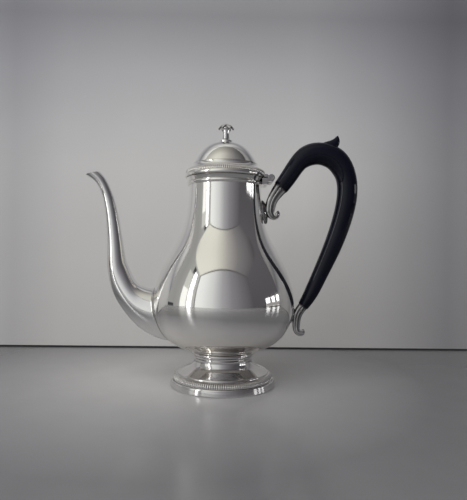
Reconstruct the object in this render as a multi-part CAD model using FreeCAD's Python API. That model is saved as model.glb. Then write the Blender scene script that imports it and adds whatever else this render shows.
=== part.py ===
import FreeCAD, Part
import math
import os

# A silver coffee pot: a pear-shaped body on a reeded foot, a swan-neck spout, a hinged dome lid with a
# flower-bud finial, and a black handle whose tenons are pinned into two cast scroll sockets.
# Millimetres. The origin is on the pot's axis at table level and +Z is up. The handle is towards +X and
# the spout towards -X, and the pot is symmetrical about the XZ plane.

# Sheet thicknesses and fits
body_wall = 1.0
spout_wall = 1.0
foot_wall = 1.0
lid_wall = 0.9
solder_gap = 0.08
lid_gap = 0.3
bezel_clearance = 0.65
pin_clearance = 0.04
tenon_clearance = 0.1

# Body: radius and height at each station of its pear outline, and how fast the radius grows on the way down
mouth_radius = 33.2
seat_height = 188.8
neck_radius = 33.9
neck_height = 168.5
neck_slope = 0.08
shoulder_radius = 49.6
shoulder_height = 119.5
shoulder_slope = 0.62
belly_radius = 64.9
belly_height = 75.0
haunch_radius = 54.3
haunch_height = 45.0
haunch_slope = -0.9
base_radius = 28.0
base_height = 30.6
base_slope = -8.0

# Pierced strainer in the bowl's wall behind the spout
strainer_height = 60.5
strainer_hole_radius = 2.0
strainer_pitch = 6.4
strainer_rows = (3, 4, 5, 4, 3)

# Collar round the mouth: a bead with a hollow moulding above it
collar_radius = 35.8
collar_height = 6.8
collar_bead = 3.3
collar_hollow = 0.9

# Spout, from the point of the body wall at spout_height: reach out from the wall and rise above that
# point for the lower and the upper outline, and the width across
spout_height = 63.0
spout_stations = (
    (-19.5, -23.6, -6.5, 24.6, 40.0),
    (-10.8, -23.8, 1.4, 23.9, 38.0),
    (2.1, -19.6, 7.1, 24.3, 34.0),
    (16.6, -10.3, 14.1, 26.6, 28.5),
    (30.6, 5.2, 20.3, 33.4, 23.5),
    (40.6, 23.4, 25.6, 44.5, 19.5),
    (44.5, 43.0, 27.8, 50.4, 17.4),
    (44.9, 60.0, 30.2, 63.2, 14.2),
    (46.0, 81.8, 33.9, 84.2, 11.8),
    (48.4, 100.3, 38.2, 102.4, 10.2),
    (52.1, 113.3, 43.4, 116.4, 9.4),
    (57.9, 122.4, 49.7, 127.2, 9.6),
    (70.1, 129.4, 58.6, 134.8, 10.4),
)
lip_tip = (67.3, 127.8)
lip_back = (53.9, 130.8)

# Foot: base ring, flaring pedestal, reeded band and the collar under the body
base_ring_radius = 48.4
base_ring_height = 6.0
base_ring_round = 1.6
base_ring_width = 5.2
foot_collar_radius = 28.6
foot_collar_height = 3.2
foot_collar_width = 3.6
waist_radius = 26.4
waist_height = 23.6
pedestal_top_radius = 27.3
pedestal_edge_radius = 39.4
pedestal_edge_height = 12.0
pedestal_edge_slope = 3.0
foot_bead_radius = 41.6
foot_bead_height = 11.3
foot_bead_rise = 0.6
foot_slope_radius = 45.2
foot_slope_wall = 1.4
foot_reeds = 148
foot_reed_depth = 0.55
foot_band_thickness = 0.7
foot_band_bulge = 1.0

# Lid: rim, reeded band, hollow moulding, dome and the bezel that drops into the mouth
lid_skirt_radius = 36.2
lid_skirt_height = 3.8
rim_radius = 37.4
rim_land = 0.5
band_top_radius = 33.4
band_rise = 4.1
lid_reeds = 124
lid_reed_depth = 0.45
lid_band_thickness = 0.5
lid_band_bulge = 0.6
moulding_radius = 29.8
moulding_rise = 4.4
moulding_hollow = 0.6
moulding_edge = 0.7
dome_radius = 28.7
dome_height = 20.9
bezel_depth = 6.0
bezel_wall = 0.9

# Finial on the lid: collar, stem, the bud's radius, rise and petal depth at each station, and the stud,
# washer and nut that hold it
finial_collar_radius = 5.9
finial_collar_height = 2.7
finial_collar_seat = 1.0
finial_collar_hollow = 0.4
stem_radius = 3.2
stem_waist = 2.5
stem_height = 6.2
bud_stations = (
    (3.0, 0.0, 0.0),
    (5.0, 1.5, 0.10),
    (7.2, 3.6, 0.16),
    (5.2, 5.2, 0.14),
    (3.0, 7.0, 0.08),
    (1.1, 8.3, 0.0),
)
petals = 6
stud_radius = 1.5
washer_radius = 5.0
washer_thickness = 1.0
nut_radius = 4.0
nut_sides = 6
nut_height = 3.0
stud_end = 1.0

# Hinge between the collar and the lid
hinge_reach = 4.4
knuckle_radius = 3.2
hinge_length = 26.0
knuckles = 5
knuckle_gap = 0.2
hinge_clearance = 0.3
hinge_pin_radius = 1.3
bracket_drop = 5.6
leaf_overlap = 7.0

# Handle mounts: the height of each mount on the body and the leaf-shaped plate there
upper_mount_height = 160.0
upper_plate_length = 22.0
upper_plate_width = 12.0
upper_plate_thickness = 3.0
lower_mount_height = 63.0
lower_plate_length = 15.0
lower_plate_width = 9.0
lower_plate_thickness = 1.6

# Handle, as outer and inner outline points and the width across. The upper part is measured from the
# point of the body wall at the upper mount, the lower part from the point at the lower mount
upper_handle_stations = (
    (11.2, 26.2, 22.3, 17.0, 12.0),
    (17.3, 35.8, 30.0, 26.9, 13.0),
    (24.6, 47.5, 37.9, 38.0, 14.2),
    (32.8, 57.4, 43.2, 41.8, 15.4),
    (44.9, 63.3, 49.4, 43.4, 16.4),
    (60.4, 63.2, 54.4, 42.9, 16.8),
    (73.2, 57.4, 60.2, 40.2, 16.6),
    (82.3, 46.0, 65.4, 34.4, 16.0),
    (87.3, 29.0, 68.7, 26.2, 15.4),
    (87.5, 13.2, 68.9, 14.6, 15.0),
    (82.7, -9.2, 65.3, -4.8, 14.5),
)
lower_handle_stations = (
    (44.4, 61.8, 29.2, 68.5, 13.4),
    (30.9, 33.8, 17.9, 39.6, 12.2),
    (19.9, 13.7, 8.9, 18.6, 10.8),
    (14.1, 6.2, 5.8, 12.0, 9.6),
)

# Thumb spur carved on the handle, in the same terms as its upper part
spur_stations = (
    (49.0, 62.0, 57.0, 52.0, 9.0),
    (58.6, 64.6, 65.5, 55.5, 8.0),
    (64.1, 66.1, 69.6, 61.6, 6.0),
    (67.1, 68.3, 70.2, 65.6, 3.8),
    (68.4, 69.9, 69.4, 69.0, 1.4),
)

# Scroll sockets, in the same terms as the handle. Each starts at the handle's end face
socket_sides = 10
socket_lap = 0.3
upper_socket_stations = (
    (6.6, 16.6, 17.0, 12.3, 10.6),
    (3.2, 8.0, 12.9, 6.8, 9.2),
    (2.3, 1.0, 11.3, 2.4, 8.4),
    (3.3, -3.5, 10.6, 0.2, 8.0),
    (6.6, -7.2, 10.3, -2.5, 7.4),
    (11.4, -8.3, 11.3, -3.9, 6.8),
    (15.3, -5.6, 12.3, -3.3, 6.0),
    (16.0, -2.0, 13.2, -1.9, 5.0),
    (14.2, 0.9, 13.4, -0.7, 3.6),
)
lower_socket_stations = (
    (9.1, -0.1, 1.2, 3.0, 7.8),
    (7.6, -6.5, 0.4, -5.2, 6.8),
    (7.5, -11.2, 0.8, -11.4, 5.8),
    (8.1, -13.4, 2.6, -15.8, 5.0),
    (9.6, -14.8, 6.4, -18.4, 4.0),
    (11.0, -15.8, 9.8, -18.0, 2.4),
)
upper_tenon_radius = 3.5
upper_pin_depth = 3.4
lower_tenon_radius = 2.5
lower_pin_depth = 4.8
tenon_past_pin = 4.4
tenon_root = 2.0
handle_pin_radius = 1.0
handle_pin_stand = 0.15

os.makedirs("parts", exist_ok=True)
up = FreeCAD.Vector(0, 0, 1)
across = FreeCAD.Vector(0, 1, 0)
origin = FreeCAD.Vector(0, 0, 0)
quarter_points = 5

# Heights and places that follow from the sizes above
lid_base = seat_height + lid_gap
skirt_top = lid_base + lid_skirt_height
band_top = skirt_top + band_rise
moulding_top = band_top + moulding_rise
dome_base = moulding_top + moulding_edge
dome_top = dome_base + dome_height
hinge_x = rim_radius + hinge_reach
hinge_z = seat_height + lid_gap / 2
pedestal_top = base_height - solder_gap - foot_collar_height - solder_gap
pedestal_bottom = base_ring_height + solder_gap


def place(point, y=0.0):
    """A point of the XZ plane, or beside it, as a vector."""
    return FreeCAD.Vector(point[0], y, point[1])


def line(a, b):
    return Part.LineSegment(place(a), place(b)).toShape()


def arc(a, middle, b):
    return Part.Arc(place(a), place(middle), place(b)).toShape()


def chain(points):
    """Straight edges from each point to the next."""
    return [line(a, b) for a, b in zip(points, points[1:])]


def outward(direction):
    """The normal on the outer side of an outline that runs downwards."""
    return FreeCAD.Vector(-direction.z, 0, direction.x)


def arc_joint(p, along_p, q, along_q):
    """Where the two arcs meet that leave one point and reach another in given directions."""
    span = q - p
    both = along_p + along_q
    turn = 1 - along_p.dot(along_q)
    if turn < 1e-9:
        reach = span.dot(span) / (4 * span.dot(along_q))
    else:
        forward = span.dot(both)
        reach = (math.sqrt(forward * forward + 2 * turn * span.dot(span)) - forward) / (2 * turn)
    return (p + q + (along_p - along_q) * reach) * 0.5


def tangent_arcs(stations, distance):
    """Smooth arcs down through stations of radius, height and slope, moved outwards by a distance."""
    arcs = []
    for (r, z, slope), (next_r, next_z, next_slope) in zip(stations, stations[1:]):
        p = place((r, z))
        q = place((next_r, next_z))
        along = heading(slope)
        joint = arc_joint(p, along, q, heading(next_slope))
        for start, end in ((p, joint), (joint, q)):
            chord = (end - start).normalize()
            ahead = along.dot(chord)
            side = along - chord * ahead
            middle = (start + end) * 0.5 + side * ((end - start).Length / (2 * (1 + ahead)))
            leaving = chord * (2 * ahead) - along
            moved_start = start + outward(along) * distance
            moved_middle = middle + outward(chord) * distance
            moved_end = end + outward(leaving) * distance
            arcs.append(Part.Arc(moved_start, moved_middle, moved_end))
            along = leaving
    return arcs


def heading(slope):
    """The downward direction of an outline that gains radius at this rate."""
    return FreeCAD.Vector(slope, 0, -1).normalize()


def ends(arcs):
    """The first and the last point of a row of arcs."""
    first = arcs[0].StartPoint
    last = arcs[-1].EndPoint
    return (first.x, first.z), (last.x, last.z)


def turned(edges):
    """The solid of revolution of a closed outline of the XZ plane about the pot's axis."""
    return Part.Face(Part.Wire(edges)).revolve(origin, up, 360)


def turned_chain(points):
    return turned(chain(list(points) + [points[0]]))


def rod(x, z, radius, length):
    """A cylinder across the pot, centred on the XZ plane."""
    return Part.makeCylinder(radius, length, FreeCAD.Vector(x, -length / 2, z), across)


def block(x0, x1, y0, y1, z0, z1):
    return Part.makeBox(x1 - x0, y1 - y0, z1 - z0, FreeCAD.Vector(x0, y0, z0))


# The pear outline and what is measured on it
body_stations = (
    (mouth_radius, seat_height, 0.0),
    (neck_radius, neck_height, neck_slope),
    (shoulder_radius, shoulder_height, shoulder_slope),
    (belly_radius, belly_height, 0.0),
    (haunch_radius, haunch_height, haunch_slope),
    (base_radius, base_height, base_slope),
)
belly_index = 3


def body_solid(distance):
    """The body with no hollow, grown by a distance, to cut what seats on it."""
    arcs = tangent_arcs(body_stations, distance)
    mouth, base = ends(arcs)
    return turned([a.toShape() for a in arcs] + chain((base, (0, base[1]), (0, mouth[1]), mouth)))


def body_radius(height):
    """The body's outer radius at a height, found by halving the range of the arc that crosses it."""
    for crossing in tangent_arcs(body_stations, 0.0):
        if crossing.EndPoint.z <= height:
            break
    low = crossing.FirstParameter
    high = crossing.LastParameter
    if crossing.value(low).z < crossing.value(high).z:
        low, high = high, low
    while abs(high - low) > 1e-9:
        middle = (low + high) / 2
        if crossing.value(middle).z > height:
            low = middle
        else:
            high = middle
    return crossing.value(low).x


upper_mount = (body_radius(upper_mount_height), upper_mount_height)
lower_mount = (body_radius(lower_mount_height), lower_mount_height)
spout_mount = (body_radius(spout_height), spout_height)


def strainer_holes():
    rows = len(strainer_rows)
    inward = FreeCAD.Vector(1, 0, 0)
    holes = []
    for row, count in enumerate(strainer_rows):
        z = strainer_height + (row - (rows - 1) / 2) * strainer_pitch * math.sin(math.radians(60))
        for k in range(count):
            y = (k - (count - 1) / 2) * strainer_pitch
            start = FreeCAD.Vector(-belly_radius - body_wall, y, z)
            holes.append(Part.makeCylinder(strainer_hole_radius, belly_radius / 2, start, inward))
    return holes


def make_body_neck():
    """The upper half of the body, from the mouth down to the seam at the belly."""
    stations = body_stations[:belly_index + 1]
    outer = tangent_arcs(stations, 0.0)
    inner = tangent_arcs(stations, -body_wall)
    mouth, seam = ends(outer)
    inner_mouth, inner_seam = ends(inner)
    edges = [a.toShape() for a in outer]
    edges.append(line(seam, inner_seam))
    edges += [a.toShape() for a in reversed(inner)]
    edges.append(line(inner_mouth, mouth))
    return turned(edges)


def make_body_bowl():
    """The lower half of the body, from the seam down to its floor, with the strainer pierced in it."""
    stations = ((belly_radius, belly_height - solder_gap, 0.0),) + body_stations[belly_index + 1:]
    outer = tangent_arcs(stations, 0.0)
    inner = tangent_arcs(stations, -body_wall)
    seam, base = ends(outer)
    inner_seam, inner_base = ends(inner)
    edges = [a.toShape() for a in outer]
    edges += chain((base, (0, base[1]), (0, inner_base[1]), inner_base))
    edges += [a.toShape() for a in reversed(inner)]
    edges.append(line(inner_seam, seam))
    return turned(edges).cut(strainer_holes())


def make_mouth_collar():
    inside = mouth_radius + solder_gap
    bottom = seat_height - collar_height
    bead_top = bottom + collar_bead
    bead_root = collar_radius - collar_bead / 2
    hollow = (collar_radius - collar_hollow, (bead_top + seat_height) / 2)
    edges = chain(((inside, seat_height), (inside, bottom), (bead_root, bottom)))
    edges.append(arc((bead_root, bottom), (collar_radius, bottom + collar_bead / 2), (bead_root, bead_top)))
    edges.append(arc((bead_root, bead_top), hollow, (collar_radius, seat_height)))
    edges.append(line((collar_radius, seat_height), (inside, seat_height)))
    return turned(edges)


def oval(lower, upper, width):
    """An ellipse of four quarters between two points of the XZ plane, with its width across."""
    a = place(lower)
    b = place(upper)
    middle = (a + b) * 0.5
    chord = (b - a) * 0.5
    side = across * (width / 2)
    quarters = []
    for start in range(4):
        angles = [math.pi / 2 * (start + k / (quarter_points - 1)) for k in range(quarter_points)]
        points = [middle + chord * math.cos(t) + side * math.sin(t) for t in angles]
        slopes = [side * math.cos(t) - chord * math.sin(t) for t in (angles[0], angles[-1])]
        curve = Part.BSplineCurve()
        curve.interpolate(Points=points, InitialTangent=slopes[0], FinalTangent=slopes[1])
        quarters.append(curve.toShape())
    return Part.Wire(quarters)


def facets(lower, upper, width):
    """A polygon on the ellipse between two points of the XZ plane."""
    a = place(lower)
    b = place(upper)
    middle = (a + b) * 0.5
    chord = (b - a) * 0.5
    corners = []
    for k in range(socket_sides + 1):
        angle = 2 * math.pi * (k + 0.5) / socket_sides
        corners.append(middle + chord * math.cos(angle) + across * (width / 2 * math.sin(angle)))
    return Part.makePolygon(corners)


def drawn_in(lower, upper, width, amount):
    """A section made smaller by an amount all round."""
    a = place(lower)
    b = place(upper)
    inward = (b - a).normalize() * amount
    a = a + inward
    b = b - inward
    return (a.x, a.z), (b.x, b.z), width - 2 * amount


def spout_sections(amount):
    """The spout's outlines, each made smaller by an amount."""
    sections = []
    for reach_low, rise_low, reach_high, rise_high, width in spout_stations:
        lower = (-spout_mount[0] - reach_low, spout_mount[1] + rise_low)
        upper = (-spout_mount[0] - reach_high, spout_mount[1] + rise_high)
        sections.append(oval(*drawn_in(lower, upper, width, amount)))
    return sections


def lip_cutter():
    """All that lies above the plane of the pouring lip."""
    tip = (-spout_mount[0] - lip_tip[0], spout_mount[1] + lip_tip[1])
    back = (-spout_mount[0] - lip_back[0], spout_mount[1] + lip_back[1])
    size = 2 * (back[0] - tip[0])
    slab = Part.makeBox(2 * size, size, size, FreeCAD.Vector(-size, -size / 2, 0))
    tilt = math.degrees(math.atan2(back[1] - tip[1], back[0] - tip[0]))
    slab.rotate(origin, across, -tilt)
    slab.translate(place(((tip[0] + back[0]) / 2, (tip[1] + back[1]) / 2)))
    return slab


def make_spout():
    outside = Part.makeLoft(spout_sections(0.0), True, False)
    bore = Part.makeLoft(spout_sections(spout_wall), True, False)
    return outside.cut(body_solid(solder_gap)).cut(lip_cutter()).cut(bore)


def make_foot_collar():
    top = base_height - solder_gap
    bottom = top - foot_collar_height
    half = foot_collar_height / 2
    inside = foot_collar_radius - foot_collar_width
    root = foot_collar_radius - half
    edges = chain(((root, top), (inside, top), (inside, bottom), (root, bottom)))
    edges.append(arc((root, bottom), (foot_collar_radius, bottom + half), (root, top)))
    return turned(edges)


pedestal_stations = (
    (pedestal_top_radius, pedestal_top, 0.0),
    (waist_radius, waist_height, 0.0),
    (pedestal_edge_radius, pedestal_edge_height, pedestal_edge_slope),
)


def make_foot_pedestal():
    outer = tangent_arcs(pedestal_stations, 0.0)
    inner = tangent_arcs(pedestal_stations, -foot_wall)
    top, edge = ends(outer)
    inner_top, inner_edge = ends(inner)
    bead = (foot_bead_radius, foot_bead_height)
    crest = ((edge[0] + bead[0]) / 2, edge[1] + foot_bead_rise)
    slope_end = (foot_slope_radius, pedestal_bottom)
    slope_inside = (foot_slope_radius - foot_slope_wall, pedestal_bottom)
    edges = [a.toShape() for a in outer]
    edges.append(arc(edge, crest, bead))
    edges += chain((bead, slope_end, slope_inside, inner_edge))
    edges += [a.toShape() for a in reversed(inner)]
    edges.append(line(inner_top, top))
    return turned(edges)


def reeded_wire(radius, height, count, depth):
    """A ring of small convex arcs, one for each reed."""
    def at(r, angle):
        return FreeCAD.Vector(r * math.cos(angle), r * math.sin(angle), height)

    step = 2 * math.pi / count
    reeds = []
    for i in range(count):
        crest = at(radius + depth, (i + 0.5) * step)
        reeds.append(Part.Arc(at(radius, i * step), crest, at(radius, (i + 1) * step)).toShape())
    return Part.Wire(reeds)


def reeded_band(low, high, thickness, bulge, count, depth):
    """A band of reeds lying on the cone between two points, with its middle bulged."""
    middle = ((low[0] + high[0]) / 2 + thickness + bulge, (low[1] + high[1]) / 2 + bulge / 2)
    stations = ((low[0] + thickness, low[1]), middle, (high[0] + thickness, high[1]))
    reeds = Part.makeLoft([reeded_wire(r, z, count, depth) for r, z in stations], True, True)
    slope = (high[0] - low[0]) / (high[1] - low[1])
    reach = high[1] - low[1]
    below = (low[0] + solder_gap - slope * reach, low[1] - reach)
    above = (high[0] + solder_gap + slope * reach, high[1] + reach)
    return reeds.cut(turned_chain(((0, below[1]), below, above, (0, above[1]))))


def make_foot_reeded_band():
    low = (foot_slope_radius, pedestal_bottom)
    high = (foot_bead_radius, foot_bead_height)
    return reeded_band(low, high, foot_band_thickness, foot_band_bulge, foot_reeds, foot_reed_depth)


def make_foot_base_ring():
    inside = base_ring_radius - base_ring_width
    round_x = base_ring_radius - base_ring_round
    round_z = base_ring_height - base_ring_round
    corner = base_ring_round * math.sqrt(0.5)
    top = (round_x, base_ring_height)
    side = (base_ring_radius, round_z)
    edges = chain((top, (inside, base_ring_height), (inside, 0), (base_ring_radius, 0), side))
    edges.append(arc(side, (round_x + corner, round_z + corner), top))
    return turned(edges)


def dome_point(radius, inset):
    """The height of the dome, or of its inside where it is inset by the wall, at a radius."""
    share = radius / (dome_radius - inset)
    return dome_base + (dome_height - inset) * math.sqrt(1 - share * share)


def dome_edge(inset):
    """A quarter of the dome's ellipse, from its base to its top."""
    wide = dome_radius - inset
    high = dome_height - inset
    centre = place((0, dome_base))
    if wide > high:
        ellipse = Part.Ellipse(place((wide, dome_base)), place((0, dome_base + high)), centre)
        return Part.Arc(ellipse, 0, math.pi / 2).toShape()
    ellipse = Part.Ellipse(place((0, dome_base + high)), place((-wide, dome_base)), centre)
    return Part.Arc(ellipse, -math.pi / 2, 0).toShape()


def make_lid_dome():
    skirt = (lid_skirt_radius, skirt_top)
    band_end = (band_top_radius, band_top)
    moulding = (moulding_radius, moulding_top)
    hollow_x = (band_top_radius + moulding_radius) / 2 - moulding_hollow
    hollow_z = (band_top + moulding_top) / 2 - moulding_hollow
    edges = chain(((lid_skirt_radius, lid_base), skirt, band_end))
    edges.append(arc(band_end, (hollow_x, hollow_z), moulding))
    edges += chain((moulding, (moulding_radius, dome_base), (dome_radius, dome_base)))
    edges.append(dome_edge(0.0))
    edges.append(line((0, dome_top), (0, dome_top - lid_wall)))
    edges.append(dome_edge(lid_wall))
    inside = [(dome_radius - lid_wall, dome_base), (moulding_radius - lid_wall, moulding_top - lid_wall / 2)]
    slant_wall = lid_wall * math.sqrt(0.5)
    hollow_inside = (hollow_x - slant_wall, hollow_z - slant_wall)
    band_inside = (band_top_radius - lid_wall, band_top - lid_wall / 2)
    edges += chain(inside)
    edges.append(arc(inside[-1], hollow_inside, band_inside))
    skirt_inside = lid_skirt_radius - lid_wall
    edges += chain((band_inside, (skirt_inside, skirt_top - lid_wall / 2), (skirt_inside, lid_base)))
    edges.append(line((skirt_inside, lid_base), (lid_skirt_radius, lid_base)))
    hole = Part.makeCylinder(stud_radius + pin_clearance, dome_height, FreeCAD.Vector(0, 0, dome_base))
    return turned(edges).cut(hole)


def make_lid_rim():
    inside = lid_skirt_radius + solder_gap
    land = inside + rim_land
    top = skirt_top - solder_gap
    edges = chain(((land, top), (inside, top), (inside, lid_base), (land, lid_base)))
    edges.append(arc((land, lid_base), (rim_radius, (lid_base + top) / 2), (land, top)))
    return turned(edges)


def make_lid_reeded_band():
    low = (lid_skirt_radius, skirt_top)
    high = (band_top_radius, band_top)
    return reeded_band(low, high, lid_band_thickness, lid_band_bulge, lid_reeds, lid_reed_depth)


def make_lid_bezel():
    outside = mouth_radius - body_wall - bezel_clearance
    inside = outside - bezel_wall
    flange = lid_skirt_radius - lid_wall - solder_gap
    top = lid_base + bezel_wall
    bottom = seat_height - bezel_depth
    ring = ((inside, top), (inside, bottom), (outside, bottom))
    return turned_chain(ring + ((outside, lid_base), (flange, lid_base), (flange, top)))


finial_base = dome_top + finial_collar_height
stem_base = finial_base + solder_gap
bud_base = stem_base + stem_height
washer_top = dome_point(washer_radius, lid_wall) - solder_gap
nut_top = washer_top - washer_thickness - solder_gap
stud_bottom = nut_top - nut_height - stud_end


def make_finial_collar():
    bore = stud_radius + pin_clearance
    rim_low = dome_point(finial_collar_radius, 0.0) - finial_collar_seat
    shoulder = (finial_collar_radius, (dome_top + finial_base) / 2)
    neck = (stem_radius, finial_base)
    sag_x = (shoulder[0] + neck[0]) / 2 - finial_collar_hollow
    sag_z = (shoulder[1] + neck[1]) / 2 - finial_collar_hollow
    edges = chain((neck, (bore, finial_base), (bore, rim_low), (finial_collar_radius, rim_low), shoulder))
    edges.append(arc(shoulder, (sag_x, sag_z), neck))
    dome = [line((0, dome_base), (dome_radius, dome_base)), dome_edge(0.0)]
    dome.append(line((0, dome_top), (0, dome_base)))
    seat = turned(dome)
    seat.translate(up * solder_gap)
    return turned(edges).cut(seat)


def bud_wire(radius, rise, depth):
    """A ring with a swell for each petal."""
    points = []
    for k in range(4 * petals):
        angle = 2 * math.pi * k / (4 * petals)
        r = radius * (1 + depth * math.cos(petals * angle))
        points.append(FreeCAD.Vector(r * math.cos(angle), r * math.sin(angle), bud_base + rise))
    ring = Part.BSplineCurve()
    ring.interpolate(Points=points, PeriodicFlag=True)
    return Part.Wire(ring.toShape())


def make_finial():
    stem_top = bud_base + bud_stations[1][1]
    corners = ((stem_waist, stem_top), (0, stem_top), (0, stud_bottom), (stud_radius, stud_bottom))
    edges = chain(corners + ((stud_radius, stem_base), (stem_radius, stem_base)))
    waist = (stem_waist, (stem_base + bud_base) / 2)
    edges.append(arc((stem_radius, stem_base), waist, (stem_waist, stem_top)))
    bud = Part.makeLoft([bud_wire(*s) for s in bud_stations], True, True)
    return turned(edges).fuse(bud)


def make_finial_washer():
    bore = stud_radius + pin_clearance
    bottom = washer_top - washer_thickness
    outside = ((washer_radius, bottom), (washer_radius, washer_top))
    return turned_chain(((bore, bottom),) + outside + ((bore, washer_top),))


def make_finial_nut():
    bottom = nut_top - nut_height
    corners = []
    for k in range(nut_sides + 1):
        angle = 2 * math.pi * k / nut_sides
        corners.append(FreeCAD.Vector(nut_radius * math.cos(angle), nut_radius * math.sin(angle), bottom))
    nut = Part.Face(Part.makePolygon(corners)).extrude(up * nut_height)
    return nut.cut(Part.makeCylinder(stud_radius + pin_clearance, nut_height, up * bottom))


def knuckle_span(index):
    """Where a knuckle starts and ends across the pot."""
    length = (hinge_length - (knuckles - 1) * knuckle_gap) / knuckles
    start = -hinge_length / 2 + index * (length + knuckle_gap)
    return start, start + length


def hinge_half(first, plate, web_low, web_high, seat_radius):
    """A hinge leaf: every second knuckle, the webs behind them and a plate seated on a round moulding."""
    plate_edge = hinge_x - knuckle_radius - hinge_clearance
    shape = plate
    for index in range(first, knuckles, 2):
        start, end = knuckle_span(index)
        barrel = Part.makeCylinder(knuckle_radius, end - start, place((hinge_x, hinge_z), start), across)
        web = block(plate_edge - hinge_clearance, hinge_x, start, end, web_low, web_high)
        shape = shape.fuse([barrel, web])
    seat = Part.makeCylinder(seat_radius + solder_gap, seat_height)
    seat.translate(up * seat_height / 2)
    bore = rod(hinge_x, hinge_z, hinge_pin_radius + pin_clearance, hinge_length + knuckle_gap)
    return shape.cut([seat, bore]).removeSplitter()


def make_hinge_bracket():
    half = hinge_length / 2
    top = seat_height - lid_gap
    plate_edge = hinge_x - knuckle_radius - hinge_clearance
    plate = block(collar_radius - leaf_overlap, plate_edge, -half, half, seat_height - bracket_drop, top)
    return hinge_half(0, plate, hinge_z - knuckle_radius, top, collar_radius)


def make_lid_hinge_leaf():
    half = hinge_length / 2
    low = lid_base + lid_gap
    high = hinge_z + knuckle_radius
    plate_edge = hinge_x - knuckle_radius - hinge_clearance
    plate = block(rim_radius - leaf_overlap, plate_edge, -half, half, low, high)
    return hinge_half(1, plate, low, high, rim_radius)


def make_hinge_pin():
    return rod(hinge_x, hinge_z, hinge_pin_radius, hinge_length)


def leaf_plate(height, length, width, thickness):
    """A leaf-shaped plate that follows the body's wall."""
    half = length / 2
    top = FreeCAD.Vector(0, 0, height + half)
    bottom = FreeCAD.Vector(0, 0, height - half)
    left = Part.Arc(top, FreeCAD.Vector(0, width / 2, height), bottom)
    right = Part.Arc(bottom, FreeCAD.Vector(0, -width / 2, height), top)
    outline = Part.Wire([left.toShape(), right.toShape()])
    prism = Part.Face(outline).extrude(FreeCAD.Vector(belly_radius + length, 0, 0))
    return prism.common(body_solid(solder_gap + thickness)).cut(body_solid(solder_gap))


def make_upper_plate():
    return leaf_plate(upper_mount_height, upper_plate_length, upper_plate_width, upper_plate_thickness)


def make_lower_plate():
    return leaf_plate(lower_mount_height, lower_plate_length, lower_plate_width, lower_plate_thickness)


def moved(station, mount):
    """An outer and an inner outline point, placed from a mount point, with the width across."""
    outer = (mount[0] + station[0], mount[1] + station[1])
    inner = (mount[0] + station[2], mount[1] + station[3])
    return outer, inner, station[4]


upper_end = moved(upper_handle_stations[0], upper_mount)
lower_end = moved(lower_handle_stations[-1], lower_mount)


def end_middle(end):
    return (place(end[0]) + place(end[1])) * 0.5


def end_axis(end, inside):
    """The direction square to an end face of the handle, away from a point of the handle."""
    chord = place(end[1]) - place(end[0])
    axis = chord.cross(across).normalize()
    if axis.dot(end_middle(end) - inside) < 0:
        axis = axis * -1
    return axis


upper_axis = end_axis(upper_end, end_middle(moved(upper_handle_stations[1], upper_mount)))
lower_axis = end_axis(lower_end, end_middle(moved(lower_handle_stations[-2], lower_mount)))


def tenon(end, axis, radius, length):
    return Part.makeCylinder(radius, length + tenon_root, end_middle(end) - axis * tenon_root, axis)


upper_tenon_length = upper_pin_depth + tenon_past_pin
lower_tenon_length = lower_pin_depth + tenon_past_pin
upper_pin_place = end_middle(upper_end) + upper_axis * upper_pin_depth
lower_pin_place = end_middle(lower_end) + lower_axis * lower_pin_depth


def pin_hole(centre, width):
    return rod(centre.x, centre.z, handle_pin_radius + pin_clearance, 2 * width)


def make_handle():
    sections = [oval(*moved(s, upper_mount)) for s in upper_handle_stations]
    sections += [oval(*moved(s, lower_mount)) for s in lower_handle_stations]
    grip = Part.makeLoft(sections, True, False)
    spur = Part.makeLoft([oval(*moved(s, upper_mount)) for s in spur_stations], True, False)
    upper = tenon(upper_end, upper_axis, upper_tenon_radius, upper_tenon_length)
    lower = tenon(lower_end, lower_axis, lower_tenon_radius, lower_tenon_length)
    handle = grip.fuse([spur, upper, lower])
    return handle.cut([pin_hole(upper_pin_place, upper_end[2]), pin_hole(lower_pin_place, lower_end[2])])


def socket(end, axis, stations, mount, plate_thickness, tenon_radius, tenon_length, pin):
    """A faceted scroll from the handle's end face down to its curl, bored for the tenon and its pin."""
    gap = axis * tenon_clearance
    outer, inner, width = drawn_in(end[0], end[1], end[2], -socket_lap)
    mouth = facets(outer, inner, width)
    mouth.translate(gap)
    sections = [mouth] + [facets(*moved(s, mount)) for s in stations]
    horn = Part.makeLoft(sections, True, True)
    bore_depth = tenon_length + 2 * tenon_clearance
    bore = Part.makeCylinder(tenon_radius + tenon_clearance, bore_depth, end_middle(end), axis)
    seat = body_solid(solder_gap + plate_thickness + solder_gap)
    return horn.cut([bore, pin_hole(pin, end[2]), seat])


def make_upper_socket():
    sizes = (upper_tenon_radius, upper_tenon_length, upper_pin_place)
    return socket(upper_end, upper_axis, upper_socket_stations, upper_mount, upper_plate_thickness, *sizes)


def make_lower_socket():
    sizes = (lower_tenon_radius, lower_tenon_length, lower_pin_place)
    return socket(lower_end, lower_axis, lower_socket_stations, lower_mount, lower_plate_thickness, *sizes)


def make_upper_pin():
    width = (upper_end[2] + upper_socket_stations[0][4]) / 2
    return rod(upper_pin_place.x, upper_pin_place.z, handle_pin_radius, width + 2 * handle_pin_stand)


def make_lower_pin():
    width = (lower_end[2] + lower_socket_stations[0][4]) / 2
    return rod(lower_pin_place.x, lower_pin_place.z, handle_pin_radius, width + 2 * handle_pin_stand)


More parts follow.
